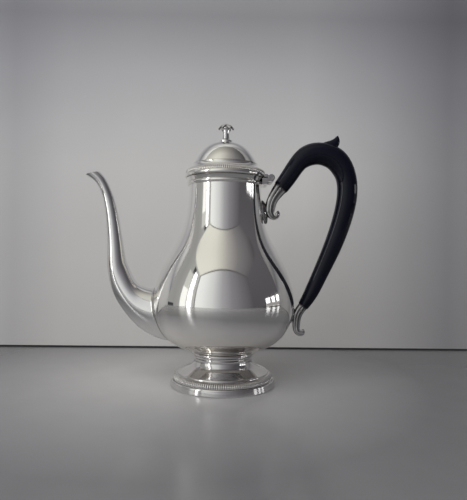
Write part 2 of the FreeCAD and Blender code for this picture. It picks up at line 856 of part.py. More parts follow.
pieces = {
    "body_bowl": make_body_bowl,
    "body_neck": make_body_neck,
    "mouth_collar": make_mouth_collar,
    "spout": make_spout,
    "foot_collar": make_foot_collar,
    "foot_pedestal": make_foot_pedestal,
    "foot_reeded_band": make_foot_reeded_band,
    "foot_base_ring": make_foot_base_ring,
    "upper_mount_plate": make_upper_plate,
    "upper_socket": make_upper_socket,
    "lower_mount_plate": make_lower_plate,
    "lower_socket": make_lower_socket,
    "handle": make_handle,
    "upper_handle_pin": make_upper_pin,
    "lower_handle_pin": make_lower_pin,
    "hinge_bracket": make_hinge_bracket,
    "hinge_pin": make_hinge_pin,
    "lid_dome": make_lid_dome,
    "lid_rim": make_lid_rim,
    "lid_reeded_band": make_lid_reeded_band,
    "lid_bezel": make_lid_bezel,
    "lid_hinge_leaf": make_lid_hinge_leaf,
    "finial_collar": make_finial_collar,
    "finial": make_finial,
    "finial_washer": make_finial_washer,
    "finial_nut": make_finial_nut,
}

for name, make in pieces.items():
    shape = make()
    print(name, "solids", len(shape.Solids), "valid", shape.isValid(), "volume", round(shape.Volume, 1))
    shape.exportStep("parts/" + name + ".step")
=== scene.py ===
# %% [markdown]
# # A silver coffee pot
# The pot was drawn as solids first: a pear-shaped body on a reeded foot, a swan-neck spout, a hinged dome lid and a
# black handle. This notebook loads those solids as a fixed frame and dresses them. A mirror finish shows every facet
# of a mesh, so most pieces are made again here from the same sizes, with many more and smoother faces.

# %% Load the frame
import math
import bmesh
import bpy
from mathutils import Matrix, Vector


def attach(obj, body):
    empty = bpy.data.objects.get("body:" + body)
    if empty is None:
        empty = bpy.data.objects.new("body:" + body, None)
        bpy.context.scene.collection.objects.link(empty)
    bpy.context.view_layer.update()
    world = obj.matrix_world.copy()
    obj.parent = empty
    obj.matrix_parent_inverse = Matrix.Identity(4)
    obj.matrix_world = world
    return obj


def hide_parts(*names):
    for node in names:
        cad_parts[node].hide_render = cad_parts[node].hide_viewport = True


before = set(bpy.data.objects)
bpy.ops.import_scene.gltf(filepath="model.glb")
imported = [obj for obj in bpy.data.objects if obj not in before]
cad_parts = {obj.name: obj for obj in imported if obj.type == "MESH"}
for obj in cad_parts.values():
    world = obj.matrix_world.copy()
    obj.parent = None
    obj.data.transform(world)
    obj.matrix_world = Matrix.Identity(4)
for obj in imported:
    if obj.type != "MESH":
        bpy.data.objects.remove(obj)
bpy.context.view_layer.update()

scene = bpy.context.scene
scene.view_settings.view_transform = "Standard"

# %% [markdown]
# ## The camera
# The photograph was taken almost level, close to the pot. Its focal length was found from how round the rims look, and
# the camera was held turned by less than one degree. A lens in millimetres follows from the focal length in pixels,
# because Blender's sensor width belongs to the long side of the picture.

# %% Place the camera
MM = 0.001
focal_pixels, picture_height = 490.0, 500.0
horizon_below_middle = 3.8
held_turned = 0.0143
camera_place = Vector((8.4, -454.0, 119.7)) * MM
camera_data = bpy.data.cameras.new("photo_camera")
camera_data.sensor_width = 36.0
camera_data.lens = camera_data.sensor_width * focal_pixels / picture_height
camera_data.clip_start = 0.01
camera = bpy.data.objects.new("photo_camera", camera_data)
scene.collection.objects.link(camera)
scene.camera = camera
tilt = math.radians(90) + math.atan(horizon_below_middle / focal_pixels)
turn = Matrix.Rotation(tilt, 4, "X") @ Matrix.Rotation(held_turned, 4, "Z")
camera.matrix_world = Matrix.Translation(camera_place) @ turn
print("lens", round(camera_data.lens, 2), "mm")

# %% [markdown]
# ## Helpers for node trees
# Every material and every Geometry Nodes tree below is built by adding nodes and links. A few small helpers keep that
# readable. A socket gets a value, or a link where a node and the name or number of one of its outputs are given as a
# pair, so a node and all that leads into it can be written in one line.


# %% Helpers for node trees
def fill(tree, socket, value):
    """Gives a socket a value, or a link where the value is a (node, output) pair."""
    if isinstance(value, tuple) and isinstance(value[0], bpy.types.Node):
        tree.links.new(value[0].outputs[value[1]], socket)
    else:
        socket.default_value = value


def give(tree, node, **values):
    """Fills the sockets of a node by their names."""
    for name, value in values.items():
        fill(tree, node.inputs[name.replace("_", " ")], value)


def add(tree, kind, place, settings=None, **values):
    """Adds a node at a place on the sheet, with its settings and what its sockets get."""
    node = tree.nodes.new(kind)
    node.location = (place[0] * 200, place[1] * -200)
    for name, value in (settings or {}).items():
        setattr(node, name, value)
    give(tree, node, **values)
    return node


def math_node(tree, operation, place, *values, kind="ShaderNodeMath"):
    """A Math node on numbers or pairs, as the pair of its result."""
    node = add(tree, kind, place, {"operation": operation})
    for socket, value in zip(node.inputs, values):
        fill(tree, socket, value)
    return node, 0


def paint(tree, place, below, mask, colour):
    """Paints a colour over another where a mask is 1, as the pair of the result."""
    mixed = add(tree, "ShaderNodeMix", place, {"data_type": "RGBA"})
    over = colour if isinstance(colour[0], bpy.types.Node) else (*colour, 1)
    for index, value in ((0, mask), (6, below), (7, over)):
        fill(tree, mixed.inputs[index], value)
    return mixed, 2


def group_of(name, inputs, outputs):
    """A new shader node group with named float, colour or vector sockets."""
    tree = bpy.data.node_groups.new(name, "ShaderNodeTree")
    for socket, kind, value in inputs:
        made = tree.interface.new_socket(socket, in_out="INPUT", socket_type="NodeSocket" + kind)
        if value is not None:
            made.default_value = value
    for socket, kind in outputs:
        tree.interface.new_socket(socket, in_out="OUTPUT", socket_type="NodeSocket" + kind)
    return tree, tree.nodes.new("NodeGroupInput"), tree.nodes.new("NodeGroupOutput")


def place_group(tree, group, place, **values):
    return add(tree, "ShaderNodeGroup", place, {"node_tree": group}, **values)


print("helpers ready")

# %% [markdown]
# ## Polishing marks and tarnish
# Silver plate is polished on a wheel and then wiped for years with a cloth. That leaves hair-fine lines, cloudy smears
# where the shine is a little softer, and a breath of brown tarnish where a cloth doesn't reach. Each of these changes
# over the surface, so each is a node group that gives values, and every finish places it with its own numbers.


# %% Lines round the axis
line_stretch = 0.004


def turning_group():
    """Turns a place on a piece into angle, distance and height about the pot's axis."""
    tree, inside, outside = group_of("round_the_axis", [("Vector", "Vector", None)], [("Vector", "Vector")])
    parts = add(tree, "ShaderNodeSeparateXYZ", (1, 0), Vector=(inside, "Vector"))
    angle = math_node(tree, "ARCTAN2", (2, 0), (parts, "Y"), (parts, "X"))
    square_x = math_node(tree, "MULTIPLY", (2, 1), (parts, "X"), (parts, "X"))
    square_y = math_node(tree, "MULTIPLY", (2, 2), (parts, "Y"), (parts, "Y"))
    distance = math_node(tree, "SQRT", (4, 1), math_node(tree, "ADD", (3, 1), square_x, square_y))
    short_angle = math_node(tree, "MULTIPLY", (3, 0), angle, line_stretch)
    packed = add(tree, "ShaderNodeCombineXYZ", (5, 0), X=short_angle, Y=distance, Z=(parts, "Z"))
    give(tree, outside, Vector=(packed, 0))
    return tree


round_the_axis = turning_group()
print("shader group", round_the_axis.name)

# %% Polishing marks
smooth_step = {"interpolation_type": "SMOOTHSTEP"}
line_share = 0.35


def polish_group():
    """Fine polishing lines and cloth smears, as a height and as a softness of the shine."""
    inputs = [("Vector", "Vector", None), ("Place", "Vector", None), ("Line Scale", "Float", 2500.0)]
    inputs += [("Smear Scale", "Float", 28.0), ("Clear", "Float", 0.05), ("Smeared", "Float", 0.12)]
    tree, inside, outside = group_of("polishing_marks", inputs, [("Roughness", "Float"), ("Height", "Float")])
    lines = add(tree, "ShaderNodeTexNoise", (1, 0), Vector=(inside, "Vector"), Scale=(inside, "Line Scale"),
                Detail=3.0, Roughness=0.6)
    smears = add(tree, "ShaderNodeTexNoise", (1, 2), Vector=(inside, "Place"), Scale=(inside, "Smear Scale"),
                 Detail=4.0, Roughness=0.55, Distortion=0.8)
    soft = add(tree, "ShaderNodeMapRange", (2, 2), smooth_step, Value=(smears, 0), From_Min=0.42, From_Max=0.72)
    fine = math_node(tree, "MULTIPLY", (2, 1), (lines, 0), line_share)
    total = math_node(tree, "ADD", (3, 1), (soft, 0), fine)
    rough = add(tree, "ShaderNodeMapRange", (4, 1), {"clamp": True}, Value=total, From_Max=1 + line_share,
                To_Min=(inside, "Clear"), To_Max=(inside, "Smeared"))
    give(tree, outside, Roughness=(rough, 0), Height=(lines, 0))
    return tree


polishing_marks = polish_group()
print("shader group", polishing_marks.name)

# %% Tarnish and painted shade
speck_share = 0.25


def tarnish_and_shade_group():
    """Where tarnish lies: clouds that a cloth missed, and grooves that it never reaches. The darkening input also
    brings painted shade at seams and under things.
    """
    inputs = [("Vector", "Vector", None), ("Groove", "Float", 0.0), ("Amount", "Float", 0.25)]
    inputs += [("Clean", "Color", None), ("Dull", "Color", None)]
    tree, inside, outside = group_of("tarnish_and_shade", inputs, [("Color", "Color")])
    place = (inside, "Vector")
    clouds = add(tree, "ShaderNodeTexNoise", (1, 0), Vector=place, Scale=16.0, Detail=5.0, Roughness=0.62)
    cloud = add(tree, "ShaderNodeMapRange", (2, 0), smooth_step, Value=(clouds, 0), From_Min=0.45, From_Max=0.85)
    spots = add(tree, "ShaderNodeTexNoise", (1, 1), Vector=place, Scale=420.0, Detail=2.0)
    spot = add(tree, "ShaderNodeMapRange", (2, 1), Value=(spots, 0), From_Min=0.72, From_Max=0.8)
    thin = math_node(tree, "MULTIPLY", (3, 0), (cloud, 0), (inside, "Amount"))
    specks = math_node(tree, "MULTIPLY", (3, 1), (spot, 0), speck_share)
    both = math_node(tree, "MAXIMUM", (4, 0), thin, specks)
    mask = math_node(tree, "MAXIMUM", (5, 0), both, (inside, "Groove"))
    give(tree, outside, Color=paint(tree, (6, 0), (inside, "Clean"), mask, (inside, "Dull")))
    return tree


tarnish_and_shade = tarnish_and_shade_group()
print("shader group", tarnish_and_shade.name)

# %% [markdown]
# ## The finishes
# All silver is one recipe with different numbers: bright on the turned pieces, duller on the cast ones, dark in the
# grooves of the flutes and reeds, and stained by coffee inside. Metallic is 1 on polished silver, so its base colour is
# the colour of its reflections. The handle is a glossy black.


# %% The recipe for silver
mark_depth = 0.04 * MM


def new_material(name):
    material = bpy.data.materials.new(name)
    material.use_nodes = True
    tree = material.node_tree
    return material, tree, tree.nodes["Principled BSDF"]


def add_bump(tree, shader, height, strength, distance):
    bump = add(tree, "ShaderNodeBump", (5, 3), Height=height, Strength=strength, Distance=distance)
    give(tree, shader, Normal=(bump, "Normal"))


def silver(name, clear, smeared, amount, turned=True, darkened=True, clean=(0.93, 0.92, 0.9),
           dull_tone=(0.5, 0.44, 0.36), metal=1.0):
    """A silver finish: how rough it is where clear and where smeared, and how much tarnish it has. Turned pieces have
    their polishing lines round the axis, and darkened pieces have the attribute that says where tarnish stays and where
    shade is painted."""
    material, tree, shader = new_material(name)
    place = add(tree, "ShaderNodeTexCoord", (0, 0)), "Object"
    wheel = (place_group(tree, round_the_axis, (1, 1), Vector=place), "Vector") if turned else place
    marks = place_group(tree, polishing_marks, (3, 1), Vector=wheel, Place=place, Clear=clear, Smeared=smeared)
    dull = place_group(tree, tarnish_and_shade, (3, 0), Vector=place, Amount=amount, Clean=(*clean, 1), Dull=(*dull_tone, 1))
    if darkened:
        # This attribute holds tarnish in grooves and painted shade at seams and under things.
        darkening = add(tree, "ShaderNodeAttribute", (1, -1), {"attribute_name": "darkening"})
        give(tree, dull, Groove=(darkening, "Fac"))
    give(tree, shader, Base_Color=(dull, "Color"), Roughness=(marks, "Roughness"), Metallic=metal)
    add_bump(tree, shader, (marks, "Height"), 0.12, mark_depth)
    return material


turned_silver = silver("turned_silver", clear=0.045, smeared=0.11, amount=0.10)
cast_silver = silver("cast_silver", clear=0.05, smeared=0.12, amount=0.18, turned=False,
                     clean=(0.8, 0.795, 0.795), dull_tone=(0.25, 0.22, 0.2))
reeded_silver = silver("reeded_silver", clear=0.08, smeared=0.16, amount=0.18)
foot_silver = silver("foot_silver", clear=0.06, smeared=0.14, amount=0.3,
                     clean=(0.72, 0.71, 0.71), dull_tone=(0.3, 0.27, 0.24))
fluted_silver = silver("fluted_silver", clear=0.07, smeared=0.16, amount=0.3, turned=False,
                       clean=(0.86, 0.85, 0.85), dull_tone=(0.06, 0.055, 0.055))
hinge_silver = silver("hinge_silver", clear=0.08, smeared=0.18, amount=0.7, turned=False, darkened=False,
                      clean=(0.48, 0.47, 0.47), dull_tone=(0.1, 0.09, 0.09))
stained_silver = silver("stained_silver", clear=0.32, smeared=0.5, amount=0.8, darkened=False,
                        clean=(0.62, 0.58, 0.52), dull_tone=(0.3, 0.23, 0.16), metal=0.6)
print("finishes", [m.name for m in (turned_silver, cast_silver, reeded_silver, foot_silver, fluted_silver,
                                    hinge_silver, stained_silver)])


# %% The handle's black
def black_gloss():
    """The handle: black with a trace of blue, polished, with fine marks and faint smears."""
    material, tree, shader = new_material("black_gloss")
    place = add(tree, "ShaderNodeTexCoord", (0, 0)), "Object"
    marks = place_group(tree, polishing_marks, (3, 1), Vector=place, Place=place, Line_Scale=900.0, Smear_Scale=45.0,
                        Clear=0.03, Smeared=0.08)
    tone = add(tree, "ShaderNodeTexNoise", (1, 0), Vector=place, Scale=60.0, Detail=5.0)
    ramp = add(tree, "ShaderNodeValToRGB", (3, 0), Fac=(tone, 0))
    ramp.color_ramp.elements[0].color = (0.001, 0.0013, 0.004, 1)
    ramp.color_ramp.elements[1].color = (0.003, 0.0036, 0.009, 1)
    give(tree, shader, Base_Color=(ramp, "Color"), Roughness=(marks, "Roughness"), Specular_IOR_Level=0.25)
    add_bump(tree, shader, (marks, "Height"), 0.10, mark_depth)
    return material


handle_black = black_gloss()
print("finish", handle_black.name)

# %% [markdown]
# ## Outlines
# Most of the pot was turned or spun, so an outline of radius and height is all that such a piece needs. The body's
# outline is a natural spline, which keeps its curvature even: a mirror finish would show every jump in it. Other smooth
# runs are pairs of arcs, as a compass would draw them. Sharp corners are softened by a small round, because real
# polished edges catch a line of light.


# %% Arcs
def arc_from(start, along, end, count):
    """Points on the arc that leaves a point along a direction and reaches another, without its first point."""
    chord = end - start
    bend = math.atan2(along.x * chord.y - along.y * chord.x, along.dot(chord))
    points = []
    for k in range(1, count + 1):
        share = k / count
        reach = share if abs(bend) < 1e-6 else math.sin(bend * share) / math.sin(bend)
        points.append(start + (Matrix.Rotation(bend * share, 2) @ along) * (chord.length * reach))
    leaving = Matrix.Rotation(2 * bend, 2) @ along
    return points, leaving


def arc_through(start, middle, end, count=10):
    """Points on the arc through three points, without its first point."""
    a, b, c = (Vector(p) for p in (start, middle, end))
    first, second = b - a, c - a
    cross = 2 * (first.x * second.y - first.y * second.x)
    centre = a + Vector((second.y * first.length_squared - first.y * second.length_squared,
                         first.x * second.length_squared - second.x * first.length_squared)) / cross
    turn = 1 if cross > 0 else -1
    begin = math.atan2(*(a - centre).yx)
    sweep = (math.atan2(*(c - centre).yx) - begin) * turn % (2 * math.pi) * turn
    return [centre + Matrix.Rotation(sweep * k / count, 2) @ (a - centre) for k in range(1, count + 1)]


def outline_of(*steps):
    """An outline of corners and arcs. An arc is a list: a middle point, an end point and, if wanted, a count of points.
    An end point that closes the outline is left out, because it is the first one."""
    points, here = [], None
    for step in steps:
        points += arc_through(here, *step) if isinstance(step, list) else [step]
        here = step[1] if isinstance(step, list) else step
    closes = (Vector(points[-1]) - Vector(points[0])).length < 1e-3
    return points[:-1] if closes else points


print("arcs ready")


# %% Smooth runs and rounded corners
def smooth_run(stations, aside=0.0, count=14):
    """Points down through stations of radius, height and slope, moved aside from the run by a distance."""
    points = []
    for (r, z, slope), (next_r, next_z, next_slope) in zip(stations, stations[1:]):
        p, q = Vector((r, z)), Vector((next_r, next_z))
        u, v = Vector((slope, -1)).normalized(), Vector((next_slope, -1)).normalized()
        span, turn = q - p, 1 - u.dot(v)
        forward = span.dot(u + v)
        reach = span.dot(span) / (4 * span.dot(v)) if turn < 1e-9 else (
            (math.sqrt(forward ** 2 + 2 * turn * span.dot(span)) - forward) / (2 * turn))
        joint = (p + q + (u - v) * reach) / 2
        first, leaving = arc_from(p, u, joint, count)
        second, _ = arc_from(joint, leaving, q, count)
        points += ([] if points else [p]) + first + second
    return moved_aside(points, aside)


def moved_aside(points, distance):
    """A run of points that goes down, moved outwards from itself by a distance."""
    moved = []
    for k, point in enumerate(points):
        along = (points[min(k + 1, len(points) - 1)] - points[max(k - 1, 0)]).normalized()
        moved.append(point + Vector((-along.y, along.x)) * distance)
    return moved


def softened(points, size, hold=0.15, least_turn=28):
    """An outline whose sharp corners are rounded, except on the axis. A point on each side of a corner holds the faces
    beside it flat."""
    points = [Vector(p) for p in points]
    result = []
    for k, corner in enumerate(points):
        back, ahead = points[k - 1] - corner, points[(k + 1) % len(points)] - corner
        turning = math.pi - back.angle(ahead)
        if turning < math.radians(least_turn) or corner.x < 1e-6:
            result.append(corner)
            continue
        cut = min(size, back.length * 0.4, ahead.length * 0.4)
        start, end = corner + back.normalized() * cut, corner + ahead.normalized() * cut
        held = min(hold, back.length * 0.05, ahead.length * 0.05)
        result.append(start + back.normalized() * held)
        for t in (0.0, 0.25, 0.5, 0.75, 1.0):
            result.append(start * (1 - t) ** 2 + corner * (2 * t * (1 - t)) + end * t ** 2)
        result.append(end + ahead.normalized() * held)
    return result


print("runs and corners ready")


# %% Splines and the body's outline
def spline_through(rows):
    """A natural cubic spline through rows of numbers, read with a share of the way along it."""
    rows = [Vector(row) for row in rows]
    marks = [0.0]
    for a, b in zip(rows, rows[1:]):
        marks.append(marks[-1] + (b - a).length)
    last = len(rows) - 1
    lead, bend = [0.0] * (last + 1), [row * 0.0 for row in rows]
    for k in range(1, last):
        before, after = marks[k] - marks[k - 1], marks[k + 1] - marks[k]
        change = (rows[k + 1] - rows[k]) / after - (rows[k] - rows[k - 1]) / before
        pivot = 2 * (before + after) - before * lead[k - 1]
        lead[k] = after / pivot
        bend[k] = (change * 6 - bend[k - 1] * before) / pivot
    for k in range(last - 1, 0, -1):
        bend[k] = bend[k] - bend[k + 1] * lead[k]

    def at(share):
        mark = min(max(share, 0.0), 1.0) * marks[-1]
        k = max(i for i in range(last) if marks[i] <= mark)
        span = marks[k + 1] - marks[k]
        b = (mark - marks[k]) / span
        a = 1 - b
        return rows[k] * a + rows[k + 1] * b + (bend[k] * (a ** 3 - a) + bend[k + 1] * (b ** 3 - b)) * (span ** 2 / 6)

    return at


pot_stations = ((33.2, 188.8), (33.62, 172.0), (35.05, 157.0), (39.4, 141.0), (47.4, 124.5), (56.0, 108.0),
                (62.35, 91.0), (64.85, 75.0), (62.55, 60.0), (54.4, 45.0), (42.5, 36.0), (28.0, 30.6))
pot_curve = spline_through(pot_stations)
pot_steps = 140
pot_outside = [pot_curve(k / pot_steps) for k in range(pot_steps + 1)]


def pot_radius(height):
    """The body's outer radius at a height."""
    for upper, lower in zip(pot_outside, pot_outside[1:]):
        if lower.y <= height:
            break
    return upper.x + (lower.x - upper.x) * (upper.y - height) / (upper.y - lower.y)


print("body outline", len(pot_outside), "points, widest", round(max(p.x for p in pot_outside), 2), "mm")

# %% [markdown]
# ## Turning with Geometry Nodes
# One tree turns every outline: Curve to Mesh carries the outline round a circle. The tree has the number of segments
# and the finish as named inputs. The result is then made a plain mesh, because the next steps work on its faces.


# %% The turning tree
lathe_radius = 10.0


def geometry_tree(name, inputs):
    """A Geometry Nodes tree with a geometry in and out and further named inputs."""
    tree = bpy.data.node_groups.new(name, "GeometryNodeTree")
    tree.is_modifier = True
    for socket, kind in [("Geometry", "Geometry")] + inputs:
        tree.interface.new_socket(socket, in_out="INPUT", socket_type="NodeSocket" + kind)
    tree.interface.new_socket("Geometry", in_out="OUTPUT", socket_type="NodeSocketGeometry")
    return tree, tree.nodes.new("NodeGroupInput"), tree.nodes.new("NodeGroupOutput")


def finish_tree(tree, source, given, outside):
    """Ends a tree in Realize Instances and Set Material."""
    real = add(tree, "GeometryNodeRealizeInstances", (10, 0), Geometry=(source, 0))
    painted = add(tree, "GeometryNodeSetMaterial", (11, 0), Geometry=(real, 0), Material=(given, "Finish"))
    give(tree, outside, Geometry=(painted, 0))
    return tree


def make_turning_tree():
    tree, given, outside = geometry_tree("turned_on_the_axis", [("Segments", "Int"), ("Finish", "Material")])
    outline = add(tree, "GeometryNodeMeshToCurve", (1, 1), Mesh=(given, "Geometry"))
    circle = add(tree, "GeometryNodeCurvePrimitiveCircle", (1, 0), Resolution=(given, "Segments"),
                 Radius=lathe_radius * MM)
    upright = add(tree, "GeometryNodeSetCurveNormal", (2, 0), {"mode": "Z_UP"}, Curve=(circle, 0))
    swept = add(tree, "GeometryNodeCurveToMesh", (3, 0), Curve=(upright, 0), Profile_Curve=(outline, 0))
    merged = add(tree, "GeometryNodeMergeByDistance", (4, 0), Geometry=(swept, 0), Distance=0.002 * MM)
    return finish_tree(tree, merged, given, outside)


turning_tree = make_turning_tree()
print("tree", turning_tree.name)

# %% [markdown]
# ## From tree to piece
# A modifier's inputs are set by the identifiers of their sockets. Then the evaluated object is copied to a plain mesh,
# its faces are turned outwards and its sharp edges marked, and the piece is put on the body it rides on, in place of
# the solids it stands for, which are hidden. Points in a groove get an attribute that the finishes read.


# %% From tree to piece
def new_object(name, data):
    made = bpy.data.objects.new(name, data)
    scene.collection.objects.link(made)
    return made


def make_plain(piece, modifier):
    """Leaves the result of a modifier as the piece's plain mesh."""
    bpy.context.view_layer.update()
    evaluated = piece.evaluated_get(bpy.context.evaluated_depsgraph_get())
    mesh = bpy.data.meshes.new_from_object(evaluated)
    piece.modifiers.remove(modifier)
    piece.data = mesh
    return piece


def run_tree(piece, tree, **values):
    """Runs a tree on an object, with inputs given by name."""
    modifier = piece.modifiers.new(tree.name, "NODES")
    modifier.node_group = tree
    for item in tree.interface.items_tree:
        if item.item_type == "SOCKET" and item.in_out == "INPUT" and item.name in values:
            modifier[item.identifier] = values[item.name]
    return make_plain(piece, modifier)


def tidy_faces(piece, sharp=40.0):
    """Turns all faces outwards, shades them smooth and marks the edges that stay sharp."""
    sheet = bmesh.new()
    sheet.from_mesh(piece.data)
    bmesh.ops.recalc_face_normals(sheet, faces=sheet.faces)
    if sheet.calc_volume(signed=True) < 0:
        bmesh.ops.reverse_faces(sheet, faces=sheet.faces)
    for face in sheet.faces:
        face.smooth = True
    for edge in sheet.edges:
        edge.smooth = len(edge.link_faces) != 2 or edge.calc_face_angle() < math.radians(sharp)
    sheet.to_mesh(piece.data)
    sheet.free()
    return piece


def dress(piece, body, nodes):
    """Puts a finished piece on its body, in place of its solids."""
    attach(piece, body)
    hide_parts(*nodes)
    print(piece.name, "faces", len(piece.data.polygons), "for", *nodes)
    return piece


print("trees can be run")


# %% Turned pieces and their seams
full_darkening = 0.9


def turned_piece(name, outline, segments=192, finish=turned_silver, closed=True):
    """A piece of revolution from an outline of radius and height in millimetres."""
    mesh = bpy.data.meshes.new(name)
    count = len(outline)
    edges = [(k, (k + 1) % count) for k in range(count if closed else count - 1)]
    mesh.from_pydata([((r - lathe_radius) * MM, -z * MM, 0.0) for r, z in outline], edges, [])
    return tidy_faces(run_tree(new_object(name, mesh), turning_tree, Segments=segments, Finish=finish))


def set_darkening(piece, values):
    """Gives each point of a piece its darkening value, which holds tarnish in grooves and painted shade at seams and
    under things.
    """
    piece.data.attributes.new("darkening", "FLOAT", "POINT").data.foreach_set("value", values)
    return piece


def shade_seams(piece, *seams, width=0.45):
    """Paints shade into the points near seams, each a radius and a height, where the gaps between parts lie in shadow.
    """
    values = []
    for vertex in piece.data.vertices:
        place = Vector((math.hypot(vertex.co.x, vertex.co.y), vertex.co.z)) / MM
        near = min((place - Vector(seam)).length for seam in seams)
        values.append(full_darkening * max(0.0, 1 - near / width))
    return set_darkening(piece, values)


print("ready to turn")

# %% [markdown]
# ## The body
# The pear-shaped body was spun from sheet about a millimetre thick. Its outline runs from the floor's middle up the
# outside, over the mouth's edge and down the inside. Behind the spout the wall is pierced as a strainer: a second tree
# places the punches in a close-packed pattern, and a Boolean modifier makes the holes. The inside gets its own finish,
# because coffee stains it and no polishing cloth gets in. Under the belly, towards the foot, shade is painted into the
# silver's colour, darker the lower it goes.

# %% Turn the body
sheet_thickness = 1.0
pot_inside = moved_aside(pot_outside, -sheet_thickness)[::2]
floor_outside, floor_inside = pot_outside[-1], pot_inside[-1]
body_outline = [Vector((0.0, floor_outside.y))] + pot_outside[::-1] + pot_inside + [Vector((0.0, floor_inside.y))]
body = turned_piece("pot_body", softened(body_outline, 0.3), 224, closed=False)
print("body", len(body.data.vertices), "vertices")

# %% Make the strainer's punches
punch_rows, punch_sides = 9, 20


def make_punch_tree():
    """Cylinders across the wall in a close-packed pattern inside a round patch."""
    inputs = [("Pitch", "Float"), ("Hole Radius", "Float"), ("Patch Radius", "Float"), ("Length", "Float")]
    tree, given, outside = geometry_tree("strainer_punches", inputs + [("Finish", "Material")])
    line = add(tree, "GeometryNodePoints", (0, 2), Count=punch_rows * punch_rows)
    index = add(tree, "GeometryNodeInputIndex", (0, 4)), 0
    row = math_node(tree, "FLOOR", (2, 4), math_node(tree, "DIVIDE", (1, 4), index, float(punch_rows)))
    column = math_node(tree, "MODULO", (1, 5), index, float(punch_rows))
    odd = math_node(tree, "MULTIPLY", (2, 6), math_node(tree, "MODULO", (1, 6), row, 2.0), 0.5)
    across = math_node(tree, "SUBTRACT", (4, 5), math_node(tree, "ADD", (3, 5), column, odd), punch_rows // 2)
    rise = math_node(tree, "SUBTRACT", (3, 4), row, punch_rows // 2)
    y = math_node(tree, "MULTIPLY", (5, 5), across, (given, "Pitch"))
    tall = math_node(tree, "MULTIPLY", (4, 4), rise, math.sin(math.radians(60)))
    z = math_node(tree, "MULTIPLY", (5, 4), tall, (given, "Pitch"))
    place = add(tree, "ShaderNodeCombineXYZ", (6, 4), Y=y, Z=z), 0
    moved = add(tree, "GeometryNodeSetPosition", (6, 2), Geometry=(line, 0), Position=place)
    far = add(tree, "ShaderNodeVectorMath", (7, 4), {"operation": "LENGTH"}, Vector=place)
    outer = math_node(tree, "GREATER_THAN", (8, 4), (far, "Value"), (given, "Patch Radius"))
    kept = add(tree, "GeometryNodeDeleteGeometry", (8, 2), Geometry=(moved, 0), Selection=outer)
    punch = add(tree, "GeometryNodeMeshCylinder", (6, 6), Vertices=punch_sides, Radius=(given, "Hole Radius"),
                Depth=(given, "Length"))
    copies = add(tree, "GeometryNodeInstanceOnPoints", (9, 2), Points=(kept, 0), Instance=(punch, "Mesh"),
                 Rotation=(0.0, math.pi / 2, 0.0))
    return finish_tree(tree, copies, given, outside)


strainer_place = Vector((-62.0, 0.0, 60.5)) * MM
strainer_pitch, strainer_hole, pitches_to_edge, punch_length = 6.4, 2.0, 2.05, 30
sizes = {"Pitch": strainer_pitch * MM, "Hole Radius": strainer_hole * MM, "Length": punch_length * MM}
sizes["Patch Radius"] = pitches_to_edge * strainer_pitch * MM
punches = new_object("strainer_punches", bpy.data.meshes.new("strainer_punches"))
run_tree(punches, make_punch_tree(), Finish=turned_silver, **sizes)
punches.data.transform(Matrix.Translation(strainer_place))
print("strainer holes", len(punches.data.vertices) // (2 * punch_sides))


# %% Pierce and finish the body
def combine(piece, tool, operation):
    """Joins a tool to a piece or takes it away, and removes the tool."""
    change = piece.modifiers.new("change", "BOOLEAN")
    change.operation, change.solver, change.object = operation, "EXACT", tool
    make_plain(piece, change)
    bpy.data.objects.remove(tool)


combine(body, punches, "DIFFERENCE")
tidy_faces(body)
body.data.materials.append(stained_silver)
half_sheet = sheet_thickness / 2
for face in body.data.polygons:
    out, height = math.hypot(*face.center.xy) / MM, face.center.z / MM
    face.material_index = int(out < pot_radius(height) - half_sheet and height > floor_inside.y - half_sheet)
print("inside faces", sum(face.material_index for face in body.data.polygons))

# Painted shade under the belly: the colour darkens from the first height down to the second, and is darkest below it.
underside_shade_top, under_floor, darkest_underside_shade = 57.0, 38.0, 0.42
underside_shade = []
for vertex in body.data.vertices:
    share = (underside_shade_top - vertex.co.z / MM) / (underside_shade_top - under_floor)
    underside_shade.append(darkest_underside_shade * min(1.0, max(0.0, share)))
dress(set_darkening(body, underside_shade), "pot", ["body_bowl", "body_neck"])

# %% [markdown]
# ## Collars, foot and base
# These rings were turned and soldered on. Each is a short outline: a straight run where it seats, and arcs where it
# shows. The numbers are the radius and the height in millimetres of the corners on the real outline.

# %% Turn the collars and the foot
collar = outline_of((33.28, 188.8), (33.28, 182.0), (34.15, 182.0), [(35.8, 183.65), (34.15, 185.3)],
                    [(34.9, 187.05), (35.8, 188.8)])
collar_ring = turned_piece("mouth_collar_ring", softened(collar, 0.2))
# Painted shade along the collar's seams: at its top under the lid, between its beads and at its foot.
dress(shade_seams(collar_ring, (35.8, 188.8), (34.15, 185.3), (34.15, 182.0)), "pot", ["mouth_collar"])

foot_top = outline_of((25.0, 30.52), (25.0, 27.32), (27.0, 27.32), [(28.6, 28.92), (27.0, 30.52)])
dress(turned_piece("foot_collar_ring", softened(foot_top, 0.2), finish=foot_silver), "pot", ["foot_collar"])

pedestal_stations = ((27.3, 27.24, 0.0), (26.4, 23.6, 0.0), (39.4, 12.0, 3.0))
pedestal = smooth_run(pedestal_stations, count=12)
pedestal += arc_through(pedestal[-1], (40.5, 12.6), (41.6, 11.3), 8)
pedestal += [(45.2, 6.08), (43.8, 6.08)] + smooth_run(pedestal_stations, -sheet_thickness, count=8)[::-1]
dress(turned_piece("foot_flare", softened(pedestal, 0.25), finish=foot_silver), "pot", ["foot_pedestal"])

base = outline_of((46.8, 6.0), (43.2, 6.0), (43.2, 0.0), (47.6, 0.0), [(48.2, 0.3), (48.4, 1.0), 5], (47.5, 4.5),
                  [(47.3, 5.35), (46.8, 6.0)])
dress(turned_piece("base_ring", softened(base, 0.25), finish=foot_silver), "pot", ["foot_base_ring"])
